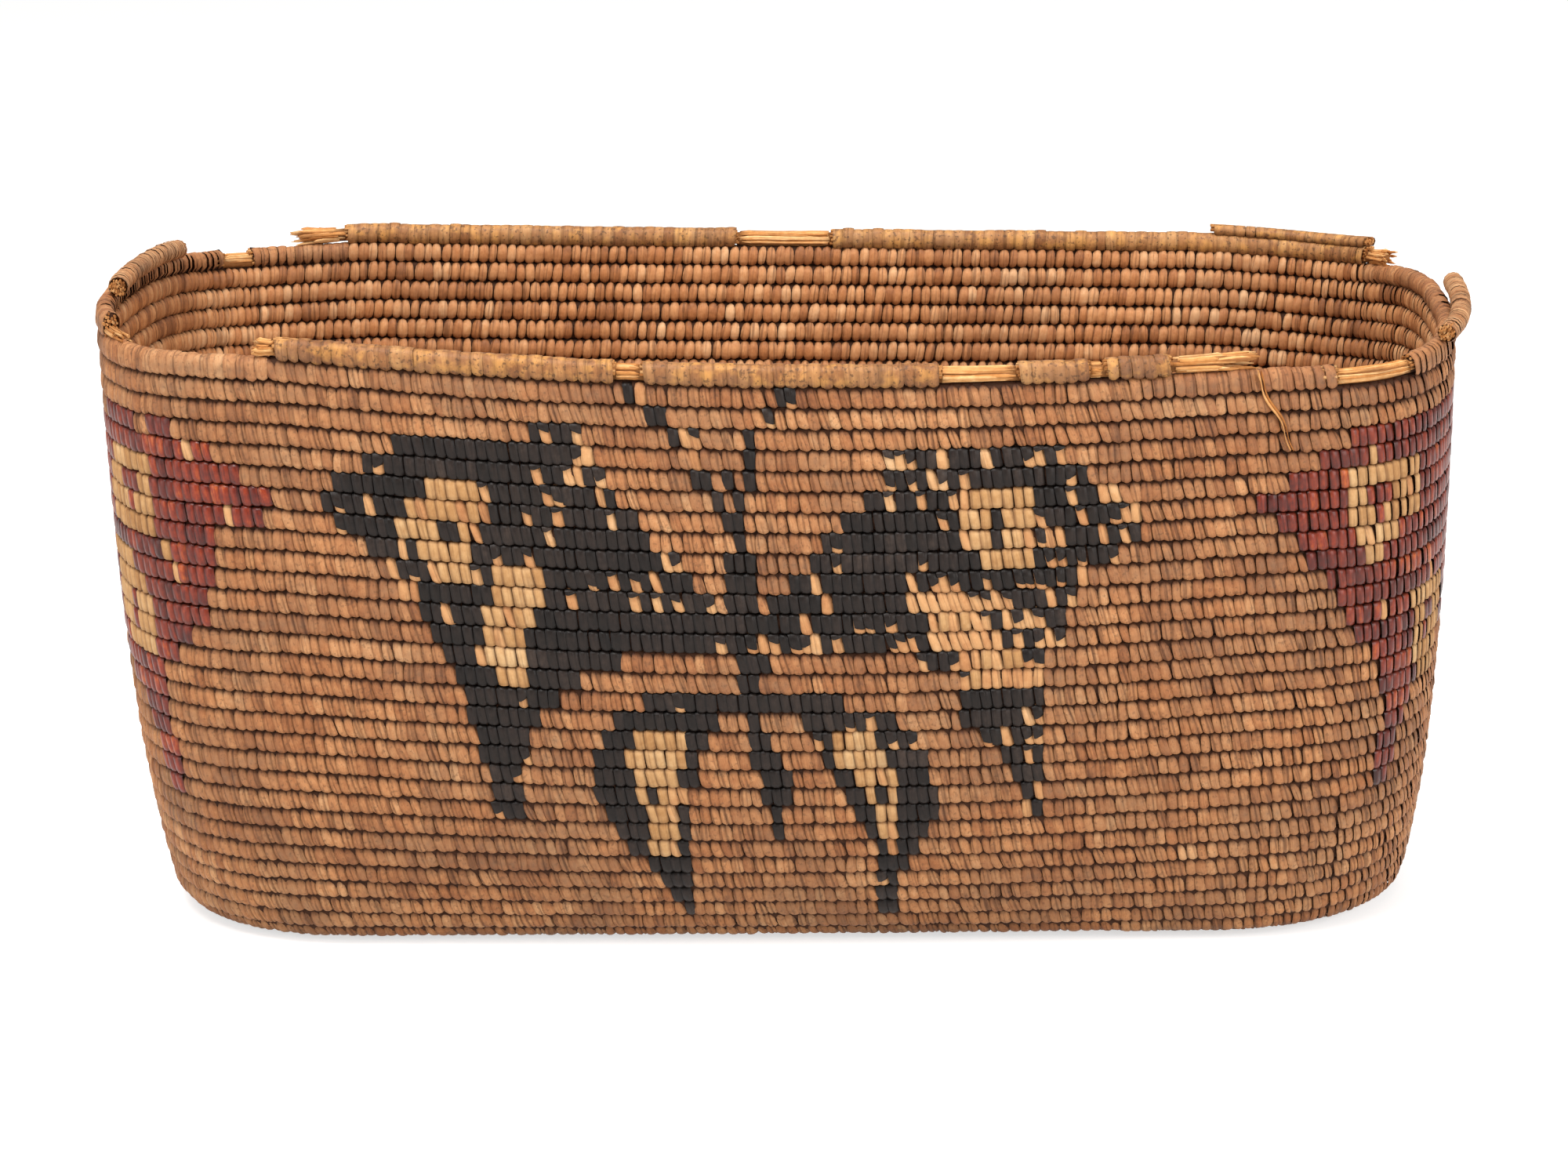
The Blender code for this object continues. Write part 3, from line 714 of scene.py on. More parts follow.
@dataclass(frozen=True)
class StrandFinish:
    """A split plant strand: colour that varies from strand to strand, fibres, dirt, painted shade
    and wear.

    The tone attribute picks the colour, the grime attribute darkens hollows with dirt and with
    painted shade, creases are darkened towards the same colour, and the belly attribute says where
    hands stained the strand. Sizes are in millimetres. The patches of wear are about 5 mm wide, and
    the mottles and specks, 2 and 1 mm, are coarser than the real grain so that they show.
    """

    name: str
    colours: tuple[str, ...]
    grime_and_shade_colour: str
    roughness: float
    fibre_spacing: float
    fibre_contrast: float
    fibre_relief: float
    stain_share: float = 0.35
    stain_colour: str = "#6B5744"
    stain_size: float = 38.0
    speck_share: float = 0.0
    speck_colour: str = "#4A3524"
    wear_colour: str = ""
    wear_share: float = 0.0
    coat: float = 0.0
    crease_share: float = 0.5
    crease_spacing: float = 1.25
    specular: float = 0.28

    def build(self) -> bpy.types.Material:
        """Make the material's nodes.

        Returns:
            The material.
        """
        material = bpy.data.materials.new(self.name)
        material.use_nodes = True
        tree = material.node_tree
        shader = tree.nodes["Principled BSDF"]
        tone, grime_and_shade, belly = (
            add_node(tree, "ShaderNodeAttribute", attribute_name=name).outputs["Fac"]
            for name in ("tone", "grime_and_shade", "belly"))
        strand = add_node(tree, "ShaderNodeUVMap", uv_map="strand").outputs["UV"]
        spot = add_node(tree, "ShaderNodeTexCoord").outputs["Object"]
        fibre_way = add_node(tree, "ShaderNodeMapping",
                             {"Vector": strand,
                              "Scale": (1 / self.fibre_spacing, 0.12 / self.fibre_spacing, 1)})
        fibre = add_node(tree, "ShaderNodeTexNoise",
                         {"Vector": fibre_way.outputs["Vector"], "Scale": 1.0, "Detail": 3.0,
                          "Roughness": 0.6}).outputs["Fac"]
        crease_way = add_node(tree, "ShaderNodeMapping",
                              {"Vector": strand, "Location": (31.0, 7.0, 0),
                               "Scale": (1 / self.crease_spacing, 0.05 / self.crease_spacing,
                                         1)})
        crease = add_node(tree, "ShaderNodeTexNoise",
                          {"Vector": crease_way.outputs["Vector"], "Scale": 1.0,
                           "Detail": 1.0}).outputs["Fac"]
        crease = add_node(tree, "ShaderNodeMapRange",
                          {"Value": crease, "From Min": 0.56, "From Max": 0.68,
                           "To Min": 0.0, "To Max": 1.0}).outputs["Result"]
        stain = add_node(tree, "ShaderNodeTexNoise",
                         {"Vector": spot, "Scale": 1000 / self.stain_size, "Detail": 4.0,
                          "Roughness": 0.55}).outputs["Fac"]
        mottle = add_node(tree, "ShaderNodeTexNoise",
                          {"Vector": spot, "Scale": 420.0, "Detail": 4.0,
                           "Roughness": 0.65}).outputs["Fac"]
        fibre_part = add_node(tree, "ShaderNodeMath",
                              {0: fibre, 1: self.fibre_contrast, 2: -self.fibre_contrast / 2},
                              operation="MULTIPLY_ADD").outputs[0]
        mottle_part = add_node(tree, "ShaderNodeMath", {0: mottle, 1: 0.8, 2: -0.4},
                               operation="MULTIPLY_ADD").outputs[0]
        mixed = add_node(tree, "ShaderNodeMath", {0: tone, 1: fibre_part}).outputs[0]
        mixed = add_node(tree, "ShaderNodeMath", {0: mixed, 1: mottle_part},
                         use_clamp=True).outputs[0]
        ramp = add_node(tree, "ShaderNodeValToRGB", {"Fac": mixed})
        elements = ramp.color_ramp.elements
        while len(elements) < len(self.colours):
            elements.new(1.0)
        for step, (element, colour) in enumerate(zip(elements, self.colours)):
            element.position = step / (len(self.colours) - 1)
            element.color = linear(colour)
        colour = ramp.outputs["Color"]
        stained = add_node(tree, "ShaderNodeMapRange",
                           {"Value": stain, "From Min": 0.42, "From Max": 0.62,
                            "To Min": 0.0, "To Max": self.stain_share}).outputs["Result"]
        handled = add_node(tree, "ShaderNodeMath", {0: belly, 1: 0.7, 2: 0.25},
                           operation="MULTIPLY_ADD").outputs[0]
        stained = add_node(tree, "ShaderNodeMath", {0: stained, 1: handled},
                           operation="MULTIPLY").outputs[0]
        colour = self.mixed(tree, stained, colour, self.stain_colour)
        for scale, detail, low, high, share, over in (
                (210.0, 3.0, 0.5, 0.64, self.wear_share, self.wear_colour),
                (900.0, 2.0, 0.58, 0.66, self.speck_share, self.speck_colour)):
            if share:
                patches = add_node(tree, "ShaderNodeTexNoise",
                                   {"Vector": spot, "Scale": scale, "Detail": detail})
                part = add_node(tree, "ShaderNodeMapRange",
                                {"Value": patches.outputs["Fac"], "From Min": low,
                                 "From Max": high, "To Min": 0.0, "To Max": share})
                colour = self.mixed(tree, part.outputs["Result"], colour, over)
        # Creases and the grime attribute darken towards the grime colour: dirt, and painted shade
        # in creases and recesses.
        creased = add_node(tree, "ShaderNodeMath", {0: crease, 1: self.crease_share},
                           operation="MULTIPLY").outputs[0]
        colour = self.mixed(tree, creased, colour, self.grime_and_shade_colour)
        colour = self.mixed(tree, grime_and_shade, colour, self.grime_and_shade_colour)
        tree.links.new(colour, shader.inputs["Base Color"])
        shader.inputs["Roughness"].default_value = self.roughness
        shader.inputs["IOR"].default_value = 1.47
        shader.inputs["Specular IOR Level"].default_value = self.specular
        shader.inputs["Coat Weight"].default_value = self.coat
        shader.inputs["Coat Roughness"].default_value = 0.3
        relief = add_node(tree, "ShaderNodeMath", {0: crease, 1: -1.2, 2: fibre},
                          operation="MULTIPLY_ADD").outputs[0]
        bump = add_node(tree, "ShaderNodeBump",
                        {"Height": relief, "Strength": 0.9,
                         "Distance": self.fibre_relief * MM})
        tree.links.new(bump.outputs["Normal"], shader.inputs["Normal"])
        return material

    @staticmethod
    def mixed(tree: bpy.types.NodeTree, share: bpy.types.NodeSocket,
              under: bpy.types.NodeSocket, over: str) -> bpy.types.NodeSocket:
        """One colour laid over another by a share."""
        node = add_node(tree, "ShaderNodeMix", {0: share, 6: under, 7: linear(over)},
                        data_type="RGBA")
        return node.outputs[2]


# Split cedar root, scraped and sewn: silky tan strands that turn grey brown where they are handled.
CEDAR_ROOT = StrandFinish("split_cedar_root", ("#7A492B", "#9F653D", "#BB8153", "#D29F70"),
                          "#38190A", 0.58, 0.28, 0.6, 0.14, 0.75, "#7B5D45", 24.0,
                          speck_share=0.45, speck_colour="#63432D")
# The same root on the inside, smoother, and painted paler than the outside: painted light, for the
# light that falls into the basket.
INNER_ROOT = StrandFinish("split_cedar_root_inside_painted_light", ("#885330", "#B37344", "#D0925F", "#E4B282"),
                          "#38190A", 0.5, 0.3, 0.45, 0.11, 0.5, "#7B573E", 36.0)
# Bark steeped black, folded into flat tiles: dusty and slightly glossy.
BLACK_BARK = StrandFinish("black_dyed_bark", ("#120E0C", "#1C1613", "#2A211D", "#40342D"),
                          "#0B0807", 0.42, 0.5, 0.5, 0.06, 0.3, "#3C3028", 30.0,
                          crease_share=0.2, specular=0.2)
# Bleached grass stems, split and flattened: straw coloured with fine lines.
BLEACHED_GRASS = StrandFinish("bleached_grass", ("#96663C", "#B38351", "#C99C6A", "#DAB585"),
                              "#5E3A20", 0.6, 0.3, 0.4, 0.08, 0.25, "#A87C4E", 22.0,
                              crease_share=0.3)
# Cherry bark, peeled in strips: red to orange brown, smooth and glossy.
CHERRY_BARK = StrandFinish("cherry_bark", ("#38150F", "#5E1E14", "#8B331B", "#C3622A"),
                           "#1E0C09", 0.32, 0.8, 0.8, 0.05, 0.3, "#553324", 26.0, coat=0.15,
                           crease_share=0.35)
# Root that the folded strips kept clean, bared where they wore away: pale and peach coloured.
CLEAN_ROOT = StrandFinish("clean_cedar_root", ("#A36A40", "#BF8555", "#D09C69", "#DFB384"),
                          "#4A2A18", 0.58, 0.3, 0.4, 0.1, 0.15, "#B08056", 30.0,
                          crease_share=0.35)
# The roots bundled inside the coil, dark with dust and with painted shade, where they show between
# the stitches.
BUNDLE_CORE = StrandFinish("dusty_and_shaded_root_bundle", ("#2E180B", "#402413", "#553420"),
                           "#221006", 0.8, 0.6, 0.6, 0.2, 0.2, "#3A2A1E", 20.0)
# Root whipped closely round the rim, rubbed golden by hands, with dark specks in its hollows.
RIM_WHIPPING = StrandFinish("worn_whipping_root", ("#6F4428", "#946139", "#B47E4C", "#CC9B64"),
                            "#3A2415", 0.5, 0.4, 0.5, 0.12, 0.5, "#7A5F4C", 18.0,
                            speck_share=0.7, speck_colour="#5C3F2A",
                            wear_colour="#D79A50", wear_share=0.5, crease_share=0.35)
# Split roots broken open: raw splinters the colour of straw.
BARE_ROOT = StrandFinish("bare_split_root", ("#A9682F", "#C9884A", "#DDA062", "#F0C084"),
                         "#5A361C", 0.7, 0.25, 0.6, 0.14, 0.25, "#9A6A3C", 14.0)


class Loom:
    """Lays strands along the coil and gathers them into one piece."""

    def __init__(self, shape: CoilShape, materials: list[bpy.types.Material],
                 rng: np.random.Generator) -> None:
        """Keep what every piece is made with.

        Args:
            shape: where the coil runs.
            materials: the finishes, in the order of their slots.
            rng: the seeded source of every small difference.
        """
        self.shape = shape
        self.materials = materials
        self.rng = rng
        self.clear()

    def clear(self) -> None:
        """Start a new piece."""
        self.bm = bmesh.new()
        self.spots: list[np.ndarray] = []
        self.tones: list[np.ndarray] = []
        self.grime_and_shade_rows: list[np.ndarray] = []
        self.bellies: list[np.ndarray] = []
        self.strips: list[np.ndarray] = []

    def gather(self, strand: Strand, spots: np.ndarray, tones: np.ndarray, grime_and_shade: np.ndarray,
               across: np.ndarray, down: np.ndarray) -> None:
        """Add copies of a strand, each with its tone, its grime and painted shade, and its belly
        for the finishes.

        Args:
            strand: what is copied.
            spots: the corners of every copy, in metres.
            tones: how pale each copy is, from 0 to 1.
            grime_and_shade: how dark every corner is painted, for dirt and for shade, from 0 to 1.
            across: millimetres across the strand, at every corner.
            down: millimetres along the strand, at every corner.
        """
        count = len(tones)
        if not count:
            return
        for _ in range(count):
            self.bm.from_mesh(strand.mesh)
        self.spots.append(spots.reshape(-1, 3))
        self.tones.append(np.repeat(tones, strand.size))
        self.grime_and_shade_rows.append(np.broadcast_to(grime_and_shade, (count, strand.size)).reshape(-1))
        # Hands rub a stitch just under its middle, over some 3.4 mm down and 2.4 mm across.
        belly = np.exp(-((down + 0.7) / 1.7) ** 2 - (across / 1.2) ** 2)
        self.bellies.append(np.broadcast_to(belly, (count, strand.size)).reshape(-1))
        offset = self.rng.uniform(0, 900, (count, 1))
        self.strips.append(np.stack([across + offset, down + offset * 0.7], axis=-1)
                           .reshape(-1, 2))

    def lay(self, strand: Strand, turns: np.ndarray, tones: np.ndarray, width: np.ndarray,
            lean: np.ndarray, lift: np.ndarray, tilt: np.ndarray, proud: np.ndarray,
            tall: np.ndarray, scale_top: float = 1.0, sink: float = 0.0) -> None:
        """Lay copies of a strand on the coil, each a little different.

        Args:
            strand: what is laid.
            turns: where each copy's middle is.
            tones: how pale each copy is.
            width: how wide each copy is, of its own width.
            lean: how far its foot is to the right, of its height.
            lift: millimetres that it is raised.
            tilt: millimetres that its right side stands out.
            proud: millimetres that it stands out.
            tall: how tall it is, of its own height.
            scale_top: how wide its top is, of its own width.
            sink: millimetres that its top lies deeper.
        """
        if not len(turns):
            return
        height = strand.height * tall[:, None] + lift[:, None]
        narrowed = 1 + (scale_top - 1) * np.clip(strand.height / 3, 0, 1)
        sideways = (strand.across * strand.half_width * narrowed) * width[:, None]
        along = sideways - strand.height * lean[:, None]
        out = strand.out + tilt[:, None] * strand.across + proud[:, None]
        out = out - sink * np.clip((strand.height + 0.5) / 3.5, 0, 1)
        here = self.shape.place(turns, np.zeros(len(turns)), np.zeros(len(turns)))
        step = 1e-4
        there = self.shape.place(turns + step, np.zeros(len(turns)), np.zeros(len(turns)))
        speed = np.linalg.norm(there - here, axis=1) / MM / step
        spots = self.shape.place(turns[:, None] + along / speed[:, None], height, out)
        self.gather(strand, spots, tones, strand.grime_and_shade, sideways, height)

    def thread(self, strand: Strand, turns: np.ndarray, height: np.ndarray, out: np.ndarray,
               radius_up: np.ndarray, radius_out: np.ndarray, tone: float,
               grime_and_shade: float = 0.0) -> None:
        """Lay one tube along the coil, by its middle line.

        Args:
            strand: a tube.
            turns: places along it, one for each stop.
            height: millimetres up at each stop.
            out: millimetres outwards at each stop.
            radius_up: half its height at each stop.
            radius_out: half its thickness at each stop.
            tone: how pale it is.
            grime_and_shade: how dark it is painted, for dirt and for shade.
        """
        stops = np.linspace(0, 1, len(turns))
        at = [np.interp(strand.across, stops, row)
              for row in (turns, height, out, radius_up, radius_out)]
        up = at[1] + strand.height * at[3]
        away = at[2] + strand.out * at[4]
        spots = self.shape.place(at[0], up, away)
        turned = np.arctan2(strand.out, strand.height) * at[4].mean()
        walked = np.linalg.norm(np.diff(self.shape.place(turns, height, out), axis=0),
                                axis=1).sum() / MM
        self.gather(strand, spots[None], np.array([tone]), np.full(strand.size, grime_and_shade)[None],
                    turned[None], (strand.across * walked)[None])

    def splinters(self, place: float, towards: int, reach_up: float, reach_out: float,
                  rise: float, count: int = 22, longest: float = 1.5, shift: float = 0.0) -> None:
        """Broken split roots that fill the end of a length of coil and stand out of it.

        Args:
            place: where the end is, in turns.
            towards: 1 where they point on along the coil, -1 where they point back.
            reach_up: half the height that they fill.
            reach_out: half the thickness that they fill.
            rise: millimetres that they are raised.
            count: how many there are.
            longest: millimetres that the longest stands out.
            shift: millimetres that they are moved outwards.
        """
        _, walked = self.shape.walked(RIM_TURN)
        per_mm = towards / walked[-1]
        tube = tube_strand(5, 3, Slot.BARE)
        for number in range(count):
            angle = number * GOLDEN_ANGLE
            reach = math.sqrt((number + 0.5) / count)
            ends = (-SPLINTER_ROOT, self.rng.uniform(-0.1, 1) * longest)
            up = rise + reach_up * reach * math.cos(angle)
            away = shift + reach_out * reach * math.sin(angle)
            size = self.rng.uniform(0.4, 0.62)
            self.thread(tube, place + np.linspace(*ends, 4) * per_mm, np.full(4, up),
                        np.full(4, away), np.full(4, size), np.full(4, size * 0.8),
                        self.rng.uniform(0.0, 0.8), 0.25)

    def finish(self, name: str, nodes: tuple[str, ...], slot: str) -> None:
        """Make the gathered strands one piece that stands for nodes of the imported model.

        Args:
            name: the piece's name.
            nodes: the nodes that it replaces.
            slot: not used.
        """
        mesh = bpy.data.meshes.new(name)
        self.bm.to_mesh(mesh)
        self.bm.free()
        mesh.vertices.foreach_set("co", np.concatenate(self.spots).astype(np.float32).ravel())
        for label, rows in (("tone", self.tones), ("grime_and_shade", self.grime_and_shade_rows),
                            ("belly", self.bellies)):
            layer = mesh.attributes.new(label, "FLOAT", "POINT")
            layer.data.foreach_set("value", np.concatenate(rows).astype(np.float32))
        corner_verts = np.empty(len(mesh.loops), np.int32)
        mesh.loops.foreach_get("vertex_index", corner_verts)
        strips = np.concatenate(self.strips)[corner_verts]
        mesh.uv_layers.new(name="strand").data.foreach_set("uv", strips.astype(np.float32).ravel())
        for material in self.materials:
            mesh.materials.append(material)
        mesh.update()
        piece = bpy.data.objects.new(name, mesh)
        bpy.context.scene.collection.objects.link(piece)
        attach(piece, "root")
        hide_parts(*nodes)
        LOG.info("%s: %d faces", name, len(mesh.polygons))
        self.clear()


# From top to foot: height, out, half width and grime. The grime at a stitch's top, tucked under the
# course above, and at its foot is painted shade as well as dirt. A stitch's foot laps over the next
# course.
STITCH_STOPS = (
    (3.1, 0.6, 0.5, 1.0), (2.7, 1.25, 0.86, 1.0), (2.15, 1.8, 1.16, 0.75), (1.55, 2.2, 1.4, 0.35),
    (0.7, 2.58, 1.64, 0.06), (-0.7, 2.86, 1.77, 0.0), (-2.4, 3.0, 1.83, 0.0),
    (-3.4, 2.8, 1.68, 0.1), (-3.85, 2.0, 1.25, 0.7))
OUTER_STITCH = StrandForm("outer_stitch", STITCH_STOPS, 4, 0.52, 0.3, 0.7)
SPLIT_STITCH = StrandForm("split_stitch", STITCH_STOPS, 6, 0.55, 0.3, 0.6, groove=0.45)
PALE_STITCH = StrandForm("pale_stitch", (
    (3.2, 0.7, 0.8, 0.9), (2.9, 1.6, 1.2, 0.4), (1.5, 2.4, 1.55, 0.0), (-0.8, 2.62, 1.7, 0.0),
    (-2.6, 2.65, 1.74, 0.0), (-3.45, 2.45, 1.62, 0.1), (-3.8, 1.8, 1.3, 0.6)),
    4, 0.5, 0.3, 0.6, Slot.PALE.value)
CROWN_STITCH = StrandForm("crown_stitch", (
    (-3.3, -1.2, 0.9, 0.7), (-1.6, -2.8, 1.6, 0.05), (1.0, -2.75, 1.74, 0.0),
    (2.6, -1.8, 1.78, 0.0), (3.25, -0.3, 1.78, 0.02), (2.9, 1.3, 1.78, 0.02),
    (1.6, 2.5, 1.8, 0.0), (-0.8, 2.9, 1.82, 0.0), (-2.6, 2.95, 1.83, 0.0),
    (-3.45, 2.75, 1.68, 0.1), (-3.85, 2.0, 1.25, 0.7)), 4, 0.26, 0.0, 0.7, wraps=True)


def folded_strip(name: str, slot: Slot) -> StrandForm:
    """A strip folded flat over a stitch, from the fold at its top to its foot."""
    # Its fold, its foot and its edges are darkened more than a stitch's, as painted shade and dirt.
    return StrandForm(name, ((2.95, 1.3, 1.6, 0.9), (2.6, 2.5, 1.66, 0.4), (1.9, 2.95, 1.68, 0.0),
                             (0.0, 3.05, 1.68, 0.0), (-1.8, 3.05, 1.68, 0.0),
                             (-3.1, 2.85, 1.66, 0.1), (-3.45, 2.0, 1.55, 0.8)),
                      4, 0.55, 0.1, 0.25, slot.value, edge_grime_and_shade=0.6)


def strip_stump(foot: float, slant: float) -> StrandForm:
    """A folded strip that broke off at a height, more on one side than on the other."""
    return StrandForm("stump_of_strip", ((2.95, 1.3, 1.6, 0.7), (2.7, 2.75, 1.66, 0.1),
                                         ((2.7 + foot) / 2, 3.0, 1.64, 0.0),
                                         (foot + 0.2, 3.05, 1.5, 0.0), (foot, 2.7, 1.35, 0.4)),
                      4, 0.36, 0.05, 0.3, Slot.BLACK.value, slant)


STRIP_STUMPS = (strip_stump(1.3, 0.5), strip_stump(0.2, -0.7), strip_stump(-1.0, 0.8),
                strip_stump(-2.0, -0.5))
# The grime at the tips of the inner and under stitches is painted shade in the gaps between beads,
# as well as dirt.
INNER_STITCH = StrandForm("inner_stitch", (
    (3.35, -1.3, 0.6, 0.8), (2.85, -2.15, 1.15, 0.25), (1.7, -2.75, 1.58, 0.0),
    (0.2, -3.0, 1.74, 0.0), (-1.5, -2.88, 1.7, 0.0), (-2.75, -2.3, 1.35, 0.15),
    (-3.35, -1.3, 0.7, 0.7)), 4, 0.52, 0.3, 0.3, Slot.INNER.value)
UNDER_STITCH = StrandForm("under_stitch", (
    (3.2, 1.2, 0.7, 0.8), (2.4, 2.2, 1.3, 0.2), (1.0, 2.6, 1.65, 0.0), (-0.8, 2.62, 1.7, 0.0),
    (-2.3, 2.3, 1.4, 0.2), (-3.2, 1.2, 0.7, 0.8)), 4, 0.4, 0.3, 0.3, Slot.ROOT.value)


@dataclass
class Coursework:
    """The sewn coil: the base, its edge and the courses of the wall."""

    shape: CoilShape
    loom: Loom
    figures: Figures
    rng: np.random.Generator
    stitch_spacing: float = 3.12
    stitch_width: float = 0.95
    split_share: float = 0.16
    core_height: float = 3.45
    open_core_drop: float = 0.45
    core_thickness: float = 1.9
    core_length: float = 8.0
    low_courses: int = 13
    worn_clean_share: float = 0.3
    foot_clearance: float = 0.5

    def __post_init__(self) -> None:
        """Shape the strands once."""
        self.outer = OUTER_STITCH.build()
        self.split = SPLIT_STITCH.build()
        self.crown = CROWN_STITCH.build()
        self.pale = PALE_STITCH.build()
        self.inner = INNER_STITCH.build()
        self.under = UNDER_STITCH.build()
        self.folded = {Strip.BLACK: folded_strip("black_strip", Slot.BLACK).build(),
                       Strip.CREAM: folded_strip("cream_strip", Slot.CREAM).build(),
                       Strip.RED: folded_strip("red_strip", Slot.RED).build()}
        self.stumps = [form.build() for form in STRIP_STUMPS]
        right, left = self.shape.right_turns, self.shape.left_turns
        self.open_tops = (
            (RIM_TURN, right(0.11, RIM_TURN)), (right(0.21, RIM_TURN), right(0.77, RIM_TURN)),
            (left(0.925, RIM_TURN), left(0.81, RIM_TURN)),
            (left(0.765, RIM_TURN), left(0.27, RIM_TURN)),
            (left(0.27, RIM_TURN - 1), left(0.02, RIM_TURN - 1)))

    def jitter(self, count: int, spread: float, middle: float = 0.0) -> np.ndarray:
        """Seeded random amounts about a middle."""
        return middle + self.rng.normal(0, 1, count).clip(-2, 2) * spread

    def stops(self, start: float, end: float) -> np.ndarray:
        """Middles of the stitches between two places on the coil.

        Args:
            start: where they start, in turns.
            end: where they end, in turns, within the same turn.

        Returns:
            The middle of each stitch, in turns.
        """
        turns, walked = self.shape.walked(math.floor(start))
        first, last = np.interp((start, min(end, math.floor(start) + 1)), turns, walked)
        count = max(1, round((last - first) / self.stitch_spacing))
        middles = first + (np.arange(count) + 1 / 2) * (last - first) / count
        middles += self.jitter(count, 0.18)
        return np.interp(middles, walked, turns)

    def core(self, start: float, end: float) -> None:
        """The bundle of roots inside the coil, lower where the course above is gone.

        Args:
            start: where it starts, in turns.
            end: where it ends, in turns.
        """
        turns, walked = self.shape.walked(math.floor(start))
        length = walked[-1] * (end - start)
        steps = max(4, round(length / self.core_length))
        strand = tube_strand(8, steps, Slot.CORE)
        places = np.linspace(start, end, steps + 1)
        level = np.zeros(steps + 1)
        lowered = np.where(self.open_above(places), self.open_core_drop, 0)
        self.loom.thread(strand, places, level - lowered, level, self.core_height - lowered,
                         level + self.core_thickness, 0.5)

    def outer_face(self, turn: int, stops: np.ndarray) -> None:
        """The outer face of a course: plain stitches, and strips where a figure passes.

        Args:
            turn: where the course's turn starts.
            stops: middles of its stitches.
        """
        kinds, worn_share = self.figures.strips(turn, stops)
        count = len(stops)
        worn = self.rng.random(count) < worn_share
        bare = worn & (self.rng.random(count) < self.worn_clean_share)
        choice = self.rng.random(count)
        plain = kinds == Strip.PLAIN.value
        low = max(0.0, 1 - (turn + 1) / self.low_courses)
        tones = self.jitter(count, 0.11, 0.5 + 0.1 * low) + self.drift(count, 0.08)
        lean = self.jitter(count, 0.06, 0.22) + self.drift(count, 0.05)
        width = self.jitter(count, 0.09, self.stitch_width)
        lift = self.jitter(count, 0.13)
        tilt = self.jitter(count, 0.12, -0.26)
        proud = self.jitter(count, 0.08) - max(0.0, self.foot_clearance - 0.3 * (turn + 1))
        tall = self.jitter(count, 0.03, 1.0 - 0.11 * low)

        def lay(strand: Strand, chosen: np.ndarray, steady: float = 1.0, raised: float = 0.0,
                top: float = 1.0, leaning: float = 1.0, sink: float = 0.0) -> None:
            """Lay a strand at the chosen stops, more or less steadily."""
            steadier = self.stitch_width + (width[chosen] - self.stitch_width) * steady
            self.loom.lay(strand, stops[chosen], tones[chosen], steadier,
                          lean[chosen] * steady * leaning, lift[chosen] * steady,
                          tilt[chosen] * (1 + steady) / 2, proud[chosen] * steady + raised,
                          tall[chosen], top, sink)

        open_above = self.open_above(stops)
        lay(self.crown, plain & open_above, top=1.13, leaning=0.4)
        split = choice < self.split_share
        for strand, chosen, top in ((self.outer, ~split, 1.02), (self.split, split, 1.08)):
            lay(strand, plain & ~open_above & chosen, top=top - 0.2 * low, sink=0.8 * low)
        lay(self.pale, worn & ~plain)
        for strip, strand in self.folded.items():
            lay(strand, (kinds == strip.value) & ~worn, 0.6)
        stumped = (kinds == Strip.BLACK.value) & worn & ~bare
        for number, stump in enumerate(self.stumps):
            lay(stump, stumped & (np.floor(choice * len(self.stumps)) == number), 0.7, 0.04)

    def open_above(self, stops: np.ndarray) -> np.ndarray:
        """Which stitches have no coil above them, so that they go over the top."""
        return np.any([(stops > start) & (stops < end) for start, end in self.open_tops], axis=0)

    def drift(self, count: int, spread: float, reach: int = 9) -> np.ndarray:
        """Seeded random amounts that change slowly from one stitch to the next."""
        rough = self.rng.normal(0, 1, count + reach)
        return np.convolve(rough, np.ones(reach) / reach, "same")[:count] * spread * reach ** 0.5

    def inner_face(self, stops: np.ndarray) -> None:
        """The inner face of a course, sewn in upright beads.

        Args:
            stops: middles of its stitches.
        """
        stops = stops[~self.open_above(stops)]
        count = len(stops)
        self.loom.lay(self.inner, stops, self.jitter(count, 0.16, 0.5) + self.drift(count, 0.1),
                      self.jitter(count, 0.08, self.stitch_width), self.jitter(count, 0.05, 0.1),
                      self.jitter(count, 0.12), self.jitter(count, 0.12, 0.15),
                      self.jitter(count, 0.08), self.jitter(count, 0.03, 1.0))

    def course(self, name: str, start: float, end: float, node: str) -> None:
        """One course of the wall, as a piece.

        Args:
            name: the piece's name.
            start: where it starts, in turns.
            end: where it ends, in turns.
            node: the node that it stands for.
        """
        stops = self.stops(start, end)
        self.core(start, end)
        self.outer_face(math.floor(start), stops)
        self.inner_face(stops)
        for place, towards in ((start, -1), (end, 1)):
            if math.floor(start) == RIM_TURN and place != RIM_TURN:
                self.loom.splinters(place, towards, 2.7, 2.2, 0.0)
        if node == "wall_coil_31_left":
            self.loom.splinters(end, 1, 1.6, 2.6, -2.6, 22, 13.0)
        self.loom.finish(name, (node,), "sewn_root")

    def base(self) -> None:
        """The flat oval base, sewn on both faces."""
        start = self.shape.turn_share(2.0) - BASE_TURNS
        for turn in range(-BASE_TURNS, -1):
            first = max(start, turn)
            stops = self.stops(first, turn + 1)
            count = len(stops)
            self.core(first, turn + 1)
            self.inner_face(stops)
            self.loom.lay(self.under, stops, self.jitter(count, 0.16, 0.5),
                          self.jitter(count, 0.08, 1.0), self.jitter(count, 0.05, 0.1),
                          self.jitter(count, 0.1), self.jitter(count, 0.05),
                          self.jitter(count, 0.03, -0.05), self.jitter(count, 0.03, 1.0))
        self.loom.finish("sewn_base", ("base_coil",), "sewn_root")

